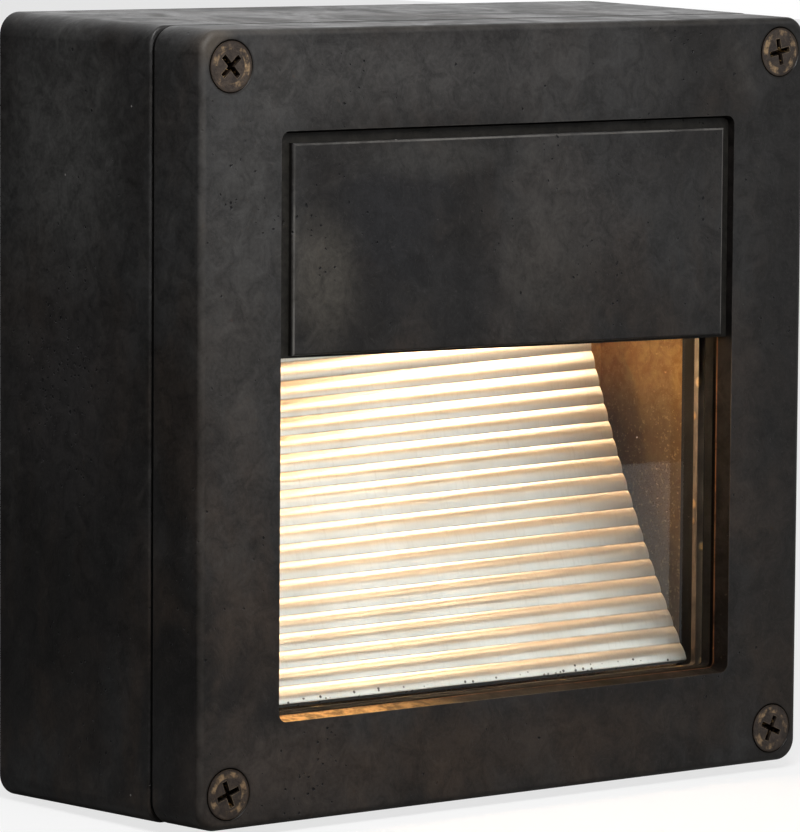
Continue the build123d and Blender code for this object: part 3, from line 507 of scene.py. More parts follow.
def painted_edge_highlights(n, place, y, outline):
    """Mask of the cover's rounded edges at its front and at the seam, lightened as painted
    highlight.
    """
    broken = n.ramp(n.noise(place, 120.0, 4.0, 0.65), 0.30, 0.65, 0.25, 1.0)
    front_edge = n.times(n.ramp(outline, SIDE - 0.0019, SIDE - 0.0010),
                         n.ramp(y, FRONT + 0.0014, FRONT + 0.0006))
    seam_edge = n.times(n.ramp(outline, SIDE - 0.0008, SIDE - 0.0004),
                        n.ramp(y, SEAM - 0.0010, SEAM - 0.0005))
    # Painted highlight, strongest along the seam's edge
    rubbed = n.larger(n.times(front_edge, 0.30),
                      n.times(seam_edge, 0.75))
    return n.times(rubbed, broken)


def window_wall(n, wide, y, z):
    """Mask of the wall round the window."""
    sides = n.ramp(wide, WINDOW_HALF - 0.00005, WINDOW_HALF + 0.00005, 1.0, 0.0)
    heights = between(n, z, WINDOW_LOW + 0.00005, WINDOW_TOP - 0.00005, 0.0001)
    wall = n.times(sides, heights)
    return n.times(wall, n.ramp(y, FRONT + 0.00005, FRONT + 0.00015))


def wall_colour(n, place, smoke):
    """Smoky bronze of the window's wall, bare at the left of its sill and black at its rear."""
    x, y, z = n.parts(place)
    bronze = n.blend(n.ramp(smoke, 0.35, 0.66), *WALL_BRONZE)
    sill = n.times(n.ramp(z, WINDOW_LOW + 0.0013, WINDOW_LOW + 0.0008),
                   n.ramp(x, -0.008, -0.048))
    bare = n.blend(n.ramp(n.noise(place, 330.0, 5.0, 0.7), 0.40, 0.60), *BARE_SILL)
    bronze = n.blend(sill, bronze, bare)
    # A thin painted highlight line across the wall, just in front of its black rear
    line = n.times(between(n, y, WINDOW_REAR - 0.0012, WINDOW_REAR - 0.0010, 0.0001),
                   n.ramp(smoke, 0.35, 0.55, 0.2, 0.8))
    bronze = n.blend(line, bronze, WALL_HIGHLIGHT_LINE)
    return n.blend(n.ramp(y, WINDOW_REAR - 0.0009, WINDOW_REAR - 0.0008), bronze, WALL_REAR)


def cover_material(settings):
    """Patina outside, painted highlight on its edges; bronze window wall and near-black inside."""
    material, n, shader, place, patina = start_patina(settings, "Patina of the cover")
    x, y, z = n.parts(place)
    wide = n.math("ABSOLUTE", x)
    outline = n.larger(wide, n.math("ABSOLUTE", z))
    worn = tuple(settings.worn)
    # Painted highlight on the rounded edges of the front and of the seam
    tone = n.blend(painted_edge_highlights(n, place, y, outline), patina.outputs[0], worn)
    # The top-left corner of the front is lightened: painted highlight and wear
    corner = n.add("ShaderNodeVectorMath", {"operation": "DISTANCE"}, _0=place,
                   _1=CORNER_HIGHLIGHT_AND_WEAR_PLACE).outputs["Value"]
    tone = n.blend(n.times(n.ramp(corner, 0.0060, 0.0010), 0.35), tone, CORNER_HIGHLIGHT_AND_WEAR)
    wear = place_group(n, edge_group(), Place=place, Radius=0.0006, Amount=0.35)
    tone = n.blend(wear, tone, worn)
    wall = window_wall(n, wide, y, z)
    smoke = n.noise(place, 150.0, 5.0, 0.7, 0.6)
    tone = n.blend(wall, tone, wall_colour(n, place, smoke))
    # The cover's inside is near-black
    inner = n.times(n.ramp(outline, *INSIDE_HALF, 1.0, 0.0),
                    n.ramp(y, WINDOW_REAR - 0.0001, WINDOW_REAR + 0.0001))
    tone = n.blend(inner, tone, n.blend(n.ramp(smoke, 0.35, 0.68), *INSIDE_NEAR_BLACK))
    # Painted shade in the countersink round each screw head, weaker on the front face
    gap_shade = n.times(n.ramp(screw_reach(n, x, z), 0.00560, 0.00610, 1.0, 0.0),
                    n.ramp(y, FRONT, FRONT + 0.0001, 0.55, 1.0))
    n.feed(shader.inputs["Base Color"], n.blend(gap_shade, tone, SCREW_GAP_SHADE))
    rough = n.plus(patina.outputs[1], n.times(wall, 0.35))
    n.feed(shader.inputs["Roughness"], n.larger(rough, n.times(inner, 0.92)))
    n.feed(shader.inputs["Metallic"], wall)
    return material


def moat_shade(n, y, z, wide, past, on_floor):
    """Mask of painted shade in the moat: at the pad's foot, on its flank and along the frame."""
    start, end = (n.ramp(wide, PAD_HALF, PAD_HALF + 0.0002, *reach)
                  for reach in ((0.0004, 0.0011), (0.0009, 0.0016)))
    foot = n.times(n.ramp(past, start, end, 1.0, 0.0), on_floor)
    flank = n.times(n.ramp(past, -0.00025, -0.00010),
                    n.ramp(y, MOAT_FLOOR - 0.0011, MOAT_FLOOR - 0.0008))
    along = n.larger(n.ramp(wide, WINDOW_HALF - 0.0012, WINDOW_HALF - 0.0006),
                     n.ramp(z, WINDOW_TOP - 0.0012, WINDOW_TOP - 0.0006))
    along = n.times(n.times(along, on_floor), 0.8)
    return n.times(n.larger(n.larger(foot, flank), along), 0.93)


def shade_material(settings):
    """Patina of the plate in the window: pale moat with painted shade, painted pad edge highlight,
    pale rear.
    """
    material, n, shader, place, patina = start_patina(settings, "Patina of the shade plate")
    x, y, z = n.parts(place)
    wide = n.math("ABSOLUTE", x)
    past = n.larger(n.math("SUBTRACT", wide, PAD_HALF), n.math("SUBTRACT", z, PAD_TOP))
    on_floor = n.ramp(y, MOAT_FLOOR - 0.0003, MOAT_FLOOR - 0.0001)
    # Pale moat floor: a rough cast skin, lightened further as painted highlight
    floor_skin_and_sheen = n.blend(n.ramp(n.noise(place, 420.0, 5.0, 0.7, 0.4), 0.34, 0.66), *MOAT_CRUST_AND_SHEEN)
    tone = n.blend(n.times(on_floor, 0.85), patina.outputs[0], floor_skin_and_sheen)
    # Painted shade in the moat
    tone = n.blend(moat_shade(n, y, z, wide, past, on_floor), tone, MOAT_SHADE)
    # A thin painted highlight along the pad's top and side edges, broken up by noise
    rim = n.times(between(n, past, -0.00045, -0.00025, 0.0002),
                  n.ramp(y, MOAT_FLOOR - 0.0012, MOAT_FLOOR - 0.0014))
    broken = n.ramp(n.noise(place, 60.0, 5.0, 0.7), 0.36, 0.62, 0.20, 1.0)
    tone = n.blend(n.times(rim, broken), tone, PAD_EDGE_HIGHLIGHT)
    rear = n.blend(n.ramp(n.noise(place, 45.0, 4.0), 0.35, 0.68), *PLATE_REAR)
    rear = n.blend(n.ramp(x, 0.020, 0.050, 0.0, 0.92), rear, PLATE_REAR_END)
    behind = n.ramp(y, WINDOW_REAR - 0.0001, WINDOW_REAR + 0.0001)
    n.feed(shader.inputs["Base Color"], n.blend(behind, tone, rear))
    n.feed(shader.inputs["Roughness"], n.plus(patina.outputs[1],
                                              n.times(on_floor, 0.12)))
    return material


def reflector_material():
    """Bright anodised aluminium, drawn along the ribs, with darker lines in their valleys."""
    material, n, shader, _ = new_material("Reflector aluminium")
    place = n.object_place()
    z = n.parts(place)[2]
    sheet = n.add("ShaderNodeUVMap", {"uv_map": SHEET_MAP}).outputs[0]
    rib = n.math("FRACT", n.parts(sheet)[1])
    valley = n.ramp(n.math("ABSOLUTE", n.math("SUBTRACT", rib, 0.5)), 0.425, 0.485)
    across = n.add("ShaderNodeMapping", Vector=place, Scale=(1.0, 0.2, 0.10)).outputs[0]
    grain = n.noise(across, 1500.0, 3.0, 0.6)
    cloud = n.noise(place, 60.0, 4.0)
    colour = n.blend(n.ramp(cloud, 0.35, 0.7), *ALUMINIUM)
    colour = n.blend(n.ramp(grain, 0.50, 0.75, 0.0, 0.25), colour, DRAWN_LINE)
    broken = n.ramp(n.noise(place, 300.0, 3.0, 0.6), 0.3, 0.6, 0.35, 0.70)
    colour = n.blend(n.times(valley, broken), colour, VALLEY)
    flecks = n.add("ShaderNodeTexVoronoi", {"feature": "F1"}, Vector=place, Scale=900.0)
    low = n.ramp(z, WINDOW_LOW + 0.0040, WINDOW_LOW + 0.0022, 0.0, 0.32)
    fleck = n.times(n.ramp(flecks.outputs["Distance"], 0.22, 0.36, 1.0, 0.0),
                    n.ramp(n.plus(n.parts(flecks.outputs["Color"])[0], low), 1.01, 1.05))
    n.feed(shader.inputs["Base Color"], n.blend(fleck, colour, FLECK))
    n.feed(shader.inputs["Roughness"], n.ramp(cloud, 0.3, 0.7, 0.35, 0.39))
    n.feed(shader.inputs["Metallic"], n.ramp(cloud, 0.0, 1.0, 1.0, 0.96))
    shader.inputs["Anisotropic"].default_value = 0.88
    along = n.add("ShaderNodeTangent", {"direction_type": "UV_MAP", "uv_map": SHEET_MAP})
    n.feed(shader.inputs["Tangent"], along.outputs[0])
    add_bump(n, shader, grain, 0.0000002)
    return material


def sheet_place(settings, length, lift, tilt):
    """Depth and height of the sheet at a length from its foot, lifted off its front."""
    lower_length = settings.lower_radius * (settings.lower_lean - settings.upper_lean)
    lean = settings.lower_lean - min(length, lower_length) / settings.lower_radius
    y = settings.lower_radius * (math.cos(lean) - math.cos(settings.lower_lean))
    z = settings.lower_radius * (math.sin(settings.lower_lean) - math.sin(lean))
    if length > lower_length:
        lean = settings.upper_lean - (length - lower_length) / settings.upper_radius
        y += settings.upper_radius * (math.cos(lean) - math.cos(settings.upper_lean))
        z += settings.upper_radius * (math.sin(settings.upper_lean) - math.sin(lean))
    y -= lift * math.cos(lean)
    z += lift * math.sin(lean)
    return (y * math.cos(tilt) + z * math.sin(tilt) + settings.foot[0],
            z * math.cos(tilt) - y * math.sin(tilt) + settings.foot[1])


def sheet_stations(settings):
    """Length, lift and rib count along the closed outline: ribs in front, smooth behind."""
    half = settings.rib_pitch / 2
    arc = (half ** 2 + settings.rib_height ** 2) / (2 * settings.rib_height)
    stations = []
    for step in range(settings.rib_count * RIB_STEPS + 1):
        from_top = (step % RIB_STEPS / RIB_STEPS - 0.5) * settings.rib_pitch
        lift = (arc ** 2 - from_top ** 2) ** 0.5 - arc + settings.rib_height
        stations.append((step / RIB_STEPS * settings.rib_pitch, lift, step / RIB_STEPS))
    full = settings.rib_count * settings.rib_pitch
    for step in range(BACK_STEPS + 1):
        stations.append((full * (1 - step / BACK_STEPS), -settings.thickness, -0.5))
    stations.append((0.0, stations[0][1], -0.5))
    return stations


def sheet_mesh(settings):
    """The ribbed sheet as a closed mesh, ruled between its two ends."""
    stations = sheet_stations(settings)
    rows = len(stations) - 1
    bm = bmesh.new()
    sheet = bm.loops.layers.uv.new(SHEET_MAP)
    bmesh.ops.create_grid(bm, x_segments=SHEET_COLUMNS, y_segments=rows, size=0.5)
    for face in bm.faces:
        marks = [round((loop.vert.co.y + 0.5) * rows) for loop in face.loops]
        on_ribs = max(marks) <= settings.rib_count * RIB_STEPS
        for loop, row in zip(face.loops, marks):
            loop[sheet].uv = (loop.vert.co.x, stations[row][2] if on_ribs else -0.5)
    for vert in bm.verts:
        share = vert.co.x + 0.5
        length, lift, _ = stations[round((vert.co.y + 0.5) * rows)]
        left = sheet_place(settings, length, lift, settings.left_tilt)
        right = sheet_place(settings, length, lift, 0.0)
        vert.co = ((share - 0.5) * settings.width, left[0] + share * (right[0] - left[0]),
                   left[1] + share * (right[1] - left[1]))
    bmesh.ops.remove_doubles(bm, verts=bm.verts, dist=1e-7)
    bmesh.ops.holes_fill(bm, edges=[edge for edge in bm.edges if edge.is_boundary], sides=0)
    bmesh.ops.recalc_face_normals(bm, faces=bm.faces)
    mesh = bpy.data.meshes.new("reflector_sheet")
    bm.to_mesh(mesh)
    bm.free()
    return mesh


def drill_holes(piece):
    """Cuts the holes of the two packed screws through the sheet."""
    low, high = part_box("reflector_screws")
    cutter_mesh = bpy.data.meshes.new("reflector_holes")
    bm = bmesh.new()
    for x in (low[0] + SCREW_HEAD_RADIUS, high[0] - SCREW_HEAD_RADIUS):
        made = bmesh.ops.create_cone(bm, cap_ends=True, segments=HOLE_SEGMENTS,
                                     radius1=SCREW_HOLE_RADIUS, radius2=SCREW_HOLE_RADIUS,
                                     depth=HOLE_DEPTH)
        bmesh.ops.rotate(bm, verts=made["verts"], matrix=Matrix.Rotation(math.pi / 2, 3, "X"))
        bmesh.ops.translate(bm, verts=made["verts"],
                            vec=(x, (low[1] + high[1]) / 2, (low[2] + high[2]) / 2))
    bm.to_mesh(cutter_mesh)
    bm.free()
    cutter = bpy.data.objects.new("reflector_holes", cutter_mesh)
    bpy.context.collection.objects.link(cutter)
    holes = piece.modifiers.new("Screw holes", "BOOLEAN")
    holes.operation = "DIFFERENCE"
    holes.solver = "EXACT"
    holes.object = cutter
    bpy.context.view_layer.update()
    drilled = bpy.data.meshes.new_from_object(piece.evaluated_get(
        bpy.context.evaluated_depsgraph_get()))
    piece.modifiers.clear()
    piece.data = drilled
    bpy.data.objects.remove(cutter)


def smooth_sheet(mesh):
    """Shades the ribs smooth, and keeps the sheet's ends and sharp edges flat."""
    bm = bmesh.new()
    bm.from_mesh(mesh)
    for face in bm.faces:
        face.smooth = len(face.verts) <= 4
    for edge in bm.edges:
        edge.smooth = edge.is_manifold and edge.calc_face_angle() < SHARP_ANGLE
    bm.to_mesh(mesh)
    bm.free()


def make_reflector(settings):
    """The ribbed sheet as a piece with two screw holes."""
    piece = bpy.data.objects.new("reflector_sheet", sheet_mesh(settings))
    bpy.context.collection.objects.link(piece)
    drill_holes(piece)
    smooth_sheet(piece.data)
    return piece


def screw_material():
    """Tarnished brass screw: brown head, golden rubbed rims, painted shade round its edge, dark
    recess.
    """
    material, n, shader, _ = new_material("Cover screw brass")
    place = n.object_place()
    x, y, z = n.parts(place)
    reach = screw_reach(n, x, z)
    mottle = n.noise(place, 420.0, 5.0, 0.7, 0.5)
    tone = n.blend(n.ramp(mottle, 0.35, 0.68), *SCREW_TARNISH)
    wear = place_group(n, edge_group(), Place=place, Radius=0.00035, Amount=0.9)
    tone = n.blend(wear, tone, SCREW_WORN)
    rim = n.times(between(n, reach, 0.0036, 0.0046, 0.0003),
                  n.ramp(n.noise(place, 330.0, 4.0, 0.65), 0.46, 0.66, 0.00, 0.75))
    tone = n.blend(rim, tone, SCREW_RIM)
    # Painted shade round the edge of the head, where it sits in the countersink
    tone = n.blend(n.ramp(reach, 0.0048, 0.0053, 0.0, 0.85), tone, SCREW_RING_SHADE)
    # Everything deeper than the face of the head is dark
    deep = n.ramp(y, FRONT + 0.0003, FRONT + 0.0009)
    tone = n.blend(deep, tone, RECESS_DARK)
    glints = n.times(n.ramp(n.noise(place, 900.0, 2.0), 0.56, 0.64), deep)
    n.feed(shader.inputs["Base Color"], n.blend(glints, tone, RECESS_GLINT))
    n.feed(shader.inputs["Roughness"], n.ramp(n.noise(place, 500.0, 4.0), 0.3, 0.7, 0.28, 0.50))
    n.feed(shader.inputs["Metallic"], n.ramp(mottle, 0.3, 0.7, 0.55, 0.85))
    add_bump(n, shader, n.plus(mottle, n.noise(place, 1500.0, 3.0, 0.6)), 0.00009)
    return material


def plain_metal(name, light, dark, rough):
    """A worked metal: two tones in noise, uneven roughness and fine tool marks."""
    material, n, shader, _ = new_material(name)
    place = n.object_place()
    grain = n.noise(place, 300.0, 5.0, 0.65)
    wear = place_group(n, edge_group(), Place=place, Radius=0.0003, Amount=0.6)
    colour = n.blend(n.ramp(grain, 0.32, 0.7), dark, light)
    colour = n.blend(wear, colour, tuple(min(1.0, 1.25 * c) for c in light))
    n.feed(shader.inputs["Base Color"], colour)
    n.feed(shader.inputs["Roughness"], n.ramp(grain, 0.3, 0.7, rough - 0.06, rough + 0.10))
    n.feed(shader.inputs["Metallic"], n.ramp(grain, 0.0, 1.0, 1.0, 0.94))
    add_bump(n, shader, grain, 0.00003)
    return material


def soft_material(name, light, dark, rough, scale=500.0, shine=0.5):
    """Rubber, plastic or ceramic: two close tones, uneven roughness and a fine skin."""
    material, n, shader, _ = new_material(name)
    place = n.object_place()
    skin = n.noise(place, scale, 5.0, 0.6)
    cloud = n.noise(place, 80.0, 4.0)
    wear = place_group(n, edge_group(), Place=place, Radius=0.0004, Amount=0.35)
    colour = n.blend(n.ramp(cloud, 0.35, 0.7), dark, light)
    colour = n.blend(wear, colour, tuple(min(1.0, c * 1.3 + 0.001) for c in light))
    n.feed(shader.inputs["Base Color"], colour)
    n.feed(shader.inputs["Roughness"], n.ramp(skin, 0.3, 0.7, rough - 0.06, rough + 0.08))
    shader.inputs["Specular IOR Level"].default_value = shine
    add_bump(n, shader, skin, 0.00004)
    return material


def sealant_material():
    """Dark brown sealant with lumps whose golden colour is painted lamp light; uneven and glossy.
    """
    material, n, shader, _ = new_material("Golden sealant")
    place = n.object_place()
    z = n.parts(place)[2]
    lump = n.noise(place, 130.0, 4.0, 0.6)
    blobs = n.add("ShaderNodeTexVoronoi", {"feature": "SMOOTH_F1"}, Vector=place, Scale=210.0)
    # Golden blobs: real lumps, their golden colour painted lamp light, fewer towards the bottom
    blob = n.ramp(n.plus(blobs.outputs["Distance"],
                         n.ramp(z, -0.020, 0.020, 0.10, 0.0)), 0.22, 0.36, 1.0, 0.0)
    colour = n.blend(n.ramp(lump, 0.35, 0.68), *SEALANT)
    colour = n.blend(n.times(blob, 0.6), colour, SEALANT_LIT_BLOB)
    n.feed(shader.inputs["Base Color"], colour)
    n.feed(shader.inputs["Roughness"], n.ramp(lump, 0.3, 0.7, 0.28, 0.45))
    add_bump(n, shader, n.plus(lump, n.times(blob, 0.4)), 0.0005)
    return material


def pane_material():
    """Clear glass with dust specks; it lets the studio light through without a dark shadow."""
    material, n, shader, output = new_material("Window glass")
    place = n.object_place()
    dust = n.noise(place, 260.0, 6.0, 0.75)
    n.feed(shader.inputs["Base Color"], n.blend(n.ramp(dust, 0.4, 0.8), *PANE))
    specks = n.add("ShaderNodeTexVoronoi", {"feature": "F1"}, Vector=place, Scale=240.0)
    speck = n.times(n.ramp(specks.outputs["Distance"], 0.030, 0.060, 1.0, 0.0),
                    n.ramp(n.parts(specks.outputs["Color"])[0], 0.93, 0.95))
    n.feed(shader.inputs["Roughness"], n.times(speck, 0.7))
    shader.inputs["Transmission Weight"].default_value = 1.0
    shader.inputs["IOR"].default_value = 1.5
    clear = n.add("ShaderNodeBsdfTransparent", Color=PANE_SHADOW)
    rays = n.add("ShaderNodeLightPath")
    mix = n.add("ShaderNodeMixShader", Fac=rays.outputs["Is Shadow Ray"], _1=shader.outputs[0],
                _2=clear.outputs[0])
    n.feed(output.inputs["Surface"], mix.outputs[0])
    return material


def lamp_glass_material(settings, name, share):
    """The lamp's glowing quartz, brightest at its left end; share scales its strength."""
    material, n, shader, _ = new_material(name)
    place = n.object_place()
    x = n.parts(place)[0]
    away = n.math("ABSOLUTE", n.math("SUBTRACT", x, GLOW_CENTRE))
    glow = n.ramp(away, 0.0, GLOW_REACH, 1.0, 0.08)
    haze = n.ramp(n.noise(place, 200.0, 4.0), 0.3, 0.7, 0.9, 1.0)
    n.feed(shader.inputs["Emission Color"], n.blend(n.times(glow, haze), (0, 0, 0),
                                                    tuple(settings.glow)))
    shader.inputs["Emission Strength"].default_value = settings.strength * share
    n.feed(shader.inputs["Base Color"], n.blend(haze, (0.80, 0.76, 0.70), (0.95, 0.93, 0.90)))
    n.feed(shader.inputs["Roughness"], n.ramp(haze, 0.9, 1.0, 0.22, 0.12))
    add_bump(n, shader, haze, 0.00001)
    return material


def lead_material(name, base, stripe=None):
    """Insulation of a lead, with a second colour wound round it where it has one."""
    material, n, shader, _ = new_material(name)
    place = n.object_place()
    skin = n.noise(place, 900.0, 4.0)
    colour = n.blend(n.ramp(n.noise(place, 120.0, 4.0), 0.3, 0.7, 0.0, 0.4), base,
                     tuple(c * 0.7 for c in base))
    if stripe:
        x, y, z = n.parts(place)
        wave = n.math("SINE", n.times(n.plus(x, n.plus(y, z)), 900.0))
        colour = n.blend(n.ramp(wave, -0.15, 0.15), colour, stripe)
    n.feed(shader.inputs["Base Color"], colour)
    n.feed(shader.inputs["Roughness"], n.ramp(skin, 0.3, 0.7, 0.40, 0.55))
    add_bump(n, shader, skin, 0.00003)
    return material


class Step:
    """What all steps share."""

    bl_options = {"REGISTER", "UNDO"}


class DOWNLIGHT_OT_castings(Step, bpy.types.Operator):
    """Gives the box, the cover and the shade plate their patina"""

    bl_idname = "downlight.castings"
    bl_label = "Castings"

    def execute(self, context):
        settings = context.scene.downlight_patina
        dress("back_box", box_material(settings))
        dress("front_cover", cover_material(settings))
        dress("shade_plate", shade_material(settings))
        return {"FINISHED"}


class DOWNLIGHT_OT_seals(Step, bpy.types.Operator):
    """Gives the gaskets, the grommet and the sealant their rubber"""

    bl_idname = "downlight.seals"
    bl_label = "Seals"

    def execute(self, context):
        rubber = soft_material("Black rubber", (0.0045, 0.0040, 0.0037), (0.0022, 0.0020, 0.0019),
                               0.75, shine=0.12)
        for name in ("box_gasket", "glass_gasket", "cable_grommet"):
            dress(name, rubber)
        dress("glass_sealant", sealant_material())
        return {"FINISHED"}


class DOWNLIGHT_OT_glass(Step, bpy.types.Operator):
    """Gives the window its glass"""

    bl_idname = "downlight.glass"
    bl_label = "Window glass"

    def execute(self, context):
        dress("window_glass", pane_material())
        return {"FINISHED"}


class DOWNLIGHT_OT_reflector(Step, bpy.types.Operator):
    """Makes the ribbed reflector with even ribs, in bright aluminium"""

    bl_idname = "downlight.reflector"
    bl_label = "Reflector"

    def execute(self, context):
        piece = make_reflector(context.scene.downlight_reflector)
        piece.data.materials.clear()
        piece.data.materials.append(reflector_material())
        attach(piece, "box")
        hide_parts("reflector")
        return {"FINISHED"}


class DOWNLIGHT_OT_fasteners(Step, bpy.types.Operator):
    """Gives the screws, the washer and the bracket their metals"""

    bl_idname = "downlight.fasteners"
    bl_label = "Screws and bracket"

    def execute(self, context):
        brass = screw_material()
        for corner in ("top_left", "top_right", "bottom_left", "bottom_right"):
            dress("cover_screw_" + corner, brass)
        for label, light, dark, rough, names in METALS:
            metal = plain_metal(label, light, dark, rough)
            for name in names:
                dress(name, metal)
        return {"FINISHED"}


class DOWNLIGHT_OT_wiring(Step, bpy.types.Operator):
    """Gives the lampholder, the terminal block and the leads their materials"""

    bl_idname = "downlight.wiring"
    bl_label = "Lampholder and wiring"

    def execute(self, context):
        dress("lampholder", soft_material("White ceramic", (0.78, 0.75, 0.70),
                                          (0.66, 0.62, 0.56), 0.50, 700.0))
        dress("terminal_block", soft_material("Off-white plastic", (0.70, 0.68, 0.62),
                                              (0.60, 0.58, 0.52), 0.42))
        dress("live_lead", lead_material("Brown insulation", (0.12, 0.045, 0.02)))
        dress("neutral_lead", lead_material("Blue insulation", (0.03, 0.10, 0.32)))
        dress("earth_lead", lead_material("Green and yellow insulation", (0.10, 0.28, 0.05),
                                          (0.62, 0.52, 0.05)))
        return {"FINISHED"}


class DOWNLIGHT_OT_lamp(Step, bpy.types.Operator):
    """Lights the capsule lamp"""

    bl_idname = "downlight.lamp"
    bl_label = "Lamp"

    def execute(self, context):
        settings = context.scene.downlight_lamp
        dress("lamp_envelope", lamp_glass_material(settings, "Lamp envelope", 1.0))
        dress("lamp_pinch", lamp_glass_material(settings, "Lamp pinch", 0.08))
        dress("lamp_filament", lamp_glass_material(settings, "Lamp filament", 4.0))
        dress("lamp_pins", plain_metal("Lamp pins", (0.66, 0.65, 0.63), (0.50, 0.49, 0.47), 0.30))
        return {"FINISHED"}


def soft_box(name, place, target, size, power):
    """A square studio light that looks at a point and spares the reflector and the pane."""
    light = bpy.data.lights.new(name, "AREA")
    light.shape = "RECTANGLE"
    light.size = size
    light.size_y = size
    light.energy = power
    item = bpy.data.objects.new(name, light)
    item.location = place
    item.rotation_euler = (Vector(target) - Vector(place)).to_track_quat("-Z", "Y").to_euler()
    bpy.context.collection.objects.link(item)
    spared = bpy.data.collections.new(name + " exceptions")
    for piece in (bpy.data.objects["reflector_sheet"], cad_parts["window_glass"]):
        spared.objects.link(piece)
    item.light_linking.receiver_collection = spared
    for member in spared.collection_objects:
        member.light_linking.link_state = "EXCLUDE"


def paper_material():
    """White for the camera and through the pane, dimmer towards the left in reflections."""
    material, n, shader, output = new_material("Stage paper")
    white = n.add("ShaderNodeEmission", Color=(1, 1, 1), Strength=1.0)
    rays = n.add("ShaderNodeLightPath")
    n.feed(shader.inputs["Base Color"], n.blend(rays.outputs["Is Camera Ray"],
                                                (0.22, 0.22, 0.22), (0.90, 0.90, 0.90)))
    shader.inputs["Roughness"].default_value = 0.9
    shown = n.ramp(n.parts(n.object_place())[0], -0.10, 0.25, 0.02, 0.50)
    mirrored = n.times(rays.outputs["Is Glossy Ray"], shown)
    seen = n.larger(rays.outputs["Is Camera Ray"],
                    n.larger(mirrored, rays.outputs["Is Transmission Ray"]))
    mix = n.add("ShaderNodeMixShader", Fac=n.times(seen, 0.75),
                _1=shader.outputs[0], _2=white.outputs[0])
    n.feed(output.inputs["Surface"], mix.outputs[0])
    return material


def make_floor(drop):
    """The floor under the object, as a stage piece."""
    mesh = bpy.data.meshes.new("stage_floor")
    bm = bmesh.new()
    bmesh.ops.create_grid(bm, x_segments=1, y_segments=1, size=1)
    for vert in bm.verts:
        vert.co.x = FLOOR_MIDDLE[0] + vert.co.x * FLOOR_HALF[0]
        vert.co.y = FLOOR_MIDDLE[1] + vert.co.y * FLOOR_HALF[1]
        vert.co.z = BOX_LOW[2] - drop
    bm.to_mesh(mesh)
    bm.free()
    floor = bpy.data.objects.new("stage_floor", mesh)
    bpy.context.collection.objects.link(floor)
    mesh.materials.append(paper_material())


def make_world(scene, fill_strength):
    """White behind the object, a dim even fill, and a shaped room for reflections."""
    world = bpy.data.worlds.new("Studio")
    scene.world = world
    world.use_nodes = True
    world.node_tree.nodes.clear()
    w = Nodes(world.node_tree)
    dx, dy, dz = w.parts(w.add("ShaderNodeTexCoord").outputs["Generated"])
    sides = w.ramp(dx, -0.45, 0.35, 0.04, 1.0)
    steep = w.math("ARCTAN2", dz, w.times(dy, -1.0))
    heights = w.larger(w.ramp(steep, 0.76, 0.79, 1.0, 0.14),
                       w.ramp(steep, 1.90, 2.30, 0.0, 1.0))
    low = w.ramp(dz, -0.06, -0.03, 0.20, 1.0)
    shine = w.times(w.times(sides, heights), low)
    shine = w.times(shine, w.ramp(dz, 0.0, 0.12, 1.0, 1.35))
    rays = w.add("ShaderNodeLightPath")
    mirrored = w.larger(rays.outputs["Is Glossy Ray"],
                        rays.outputs["Is Transmission Ray"])
    level = w.add("ShaderNodeMix", {"data_type": "FLOAT"}, _0=mirrored, _2=fill_strength,
                  _3=shine).outputs[0]
    level = w.add("ShaderNodeMix", {"data_type": "FLOAT"}, _0=rays.outputs["Is Camera Ray"],
                  _2=level, _3=1.0).outputs[0]
    background = w.add("ShaderNodeBackground", Color=(1, 1, 1), Strength=level)
    w.add("ShaderNodeOutputWorld", Surface=background.outputs[0])


def make_camera(scene):
    """The camera that took the photograph, as fitted."""
    camera = bpy.data.cameras.new("Camera")
    camera.sensor_width = SENSOR_WIDTH
    camera.lens = LENS_PIXELS / PHOTO_SIDE * SENSOR_WIDTH
    camera.shift_x = SHIFT_PIXELS[0] / PHOTO_SIDE
    camera.shift_y = SHIFT_PIXELS[1] / PHOTO_SIDE
    camera.clip_start = 0.01
    camera.clip_end = 50
    item = bpy.data.objects.new("Camera", camera)
    bpy.context.collection.objects.link(item)
    azimuth, elevation, roll = (math.radians(angle) for angle in CAMERA_ANGLES)
    forward = Vector((-math.sin(azimuth) * math.cos(elevation),
                      math.cos(azimuth) * math.cos(elevation), -math.sin(elevation)))
    level_right = Vector((math.cos(azimuth), math.sin(azimuth), 0))
    level_up = level_right.cross(forward)
    right = math.cos(roll) * level_right + math.sin(roll) * level_up
    up = math.cos(roll) * level_up - math.sin(roll) * level_right
    target = Vector(CAMERA_AIM) + AIM_SHIFT[0] * right + AIM_SHIFT[1] * up
    turn = Matrix((right, up, -forward)).transposed().to_4x4()
    item.matrix_world = Matrix.Translation(target - CAMERA_DISTANCE * forward) @ turn
    scene.camera = item


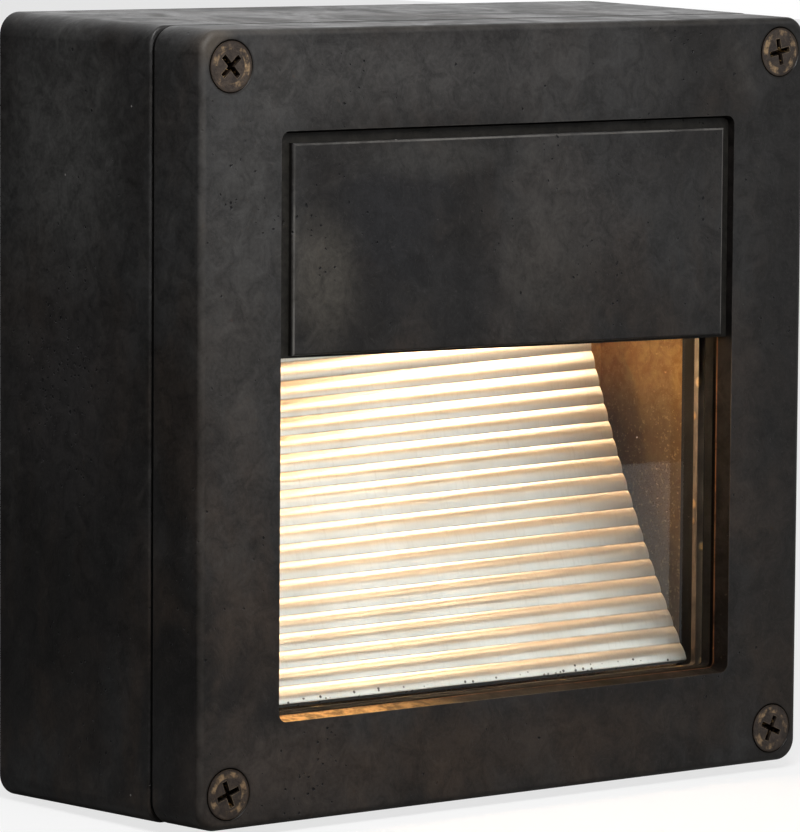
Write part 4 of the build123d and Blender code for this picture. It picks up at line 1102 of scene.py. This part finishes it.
class DOWNLIGHT_OT_stage(Step, bpy.types.Operator):
    """Sets the pale floor, the soft light and the camera"""

    bl_idname = "downlight.stage"
    bl_label = "Stage"

    def execute(self, context):
        settings = context.scene.downlight_stage
        context.scene.view_settings.view_transform = "Standard"
        make_floor(settings.floor_drop)
        make_world(context.scene, settings.fill_strength)
        soft_box("Front soft box", FRONT_BOX_PLACE, FRONT_BOX_AIM, FRONT_BOX_SIZE,
                 settings.key_power)
        soft_box("Top soft box", TOP_BOX_PLACE, TOP_BOX_AIM, TOP_BOX_SIZE, settings.top_power)
        make_camera(context.scene)
        return {"FINISHED"}


class DOWNLIGHT_PT_panel(bpy.types.Panel):
    """Lists the settings and the steps of the wall downlight"""

    bl_idname = "DOWNLIGHT_PT_panel"
    bl_label = "Wall Downlight"
    bl_space_type = "VIEW_3D"
    bl_region_type = "UI"
    bl_category = "Wall Downlight"

    def draw(self, context):
        scene = context.scene
        for name in SETTINGS:
            settings = getattr(scene, name)
            box = self.layout.box()
            for key in settings.bl_rna.properties.keys():
                if key not in ("rna_type", "name"):
                    box.prop(settings, key)
        for step in STEPS:
            self.layout.operator(step.bl_idname)


STEPS = (DOWNLIGHT_OT_castings, DOWNLIGHT_OT_seals, DOWNLIGHT_OT_glass, DOWNLIGHT_OT_reflector,
         DOWNLIGHT_OT_fasteners, DOWNLIGHT_OT_wiring, DOWNLIGHT_OT_lamp, DOWNLIGHT_OT_stage)
SETTINGS = {"downlight_patina": PatinaSettings, "downlight_reflector": ReflectorSettings,
            "downlight_lamp": LampSettings, "downlight_stage": StageSettings}
CLASSES = (*SETTINGS.values(), *STEPS, DOWNLIGHT_PT_panel)


def register():
    """Registers the classes and hangs the settings on the scene."""
    for kind in CLASSES:
        bpy.utils.register_class(kind)
    for key, kind in SETTINGS.items():
        setattr(bpy.types.Scene, key, bpy.props.PointerProperty(type=kind))


def unregister():
    """Takes the settings and the classes away again."""
    for key in SETTINGS:
        delattr(bpy.types.Scene, key)
    for kind in reversed(CLASSES):
        bpy.utils.unregister_class(kind)


def main():
    """Runs every step in order."""
    register()
    for step in STEPS:
        group, name = step.bl_idname.split(".")
        getattr(getattr(bpy.ops, group), name)()


if __name__ == "__main__":
    main()
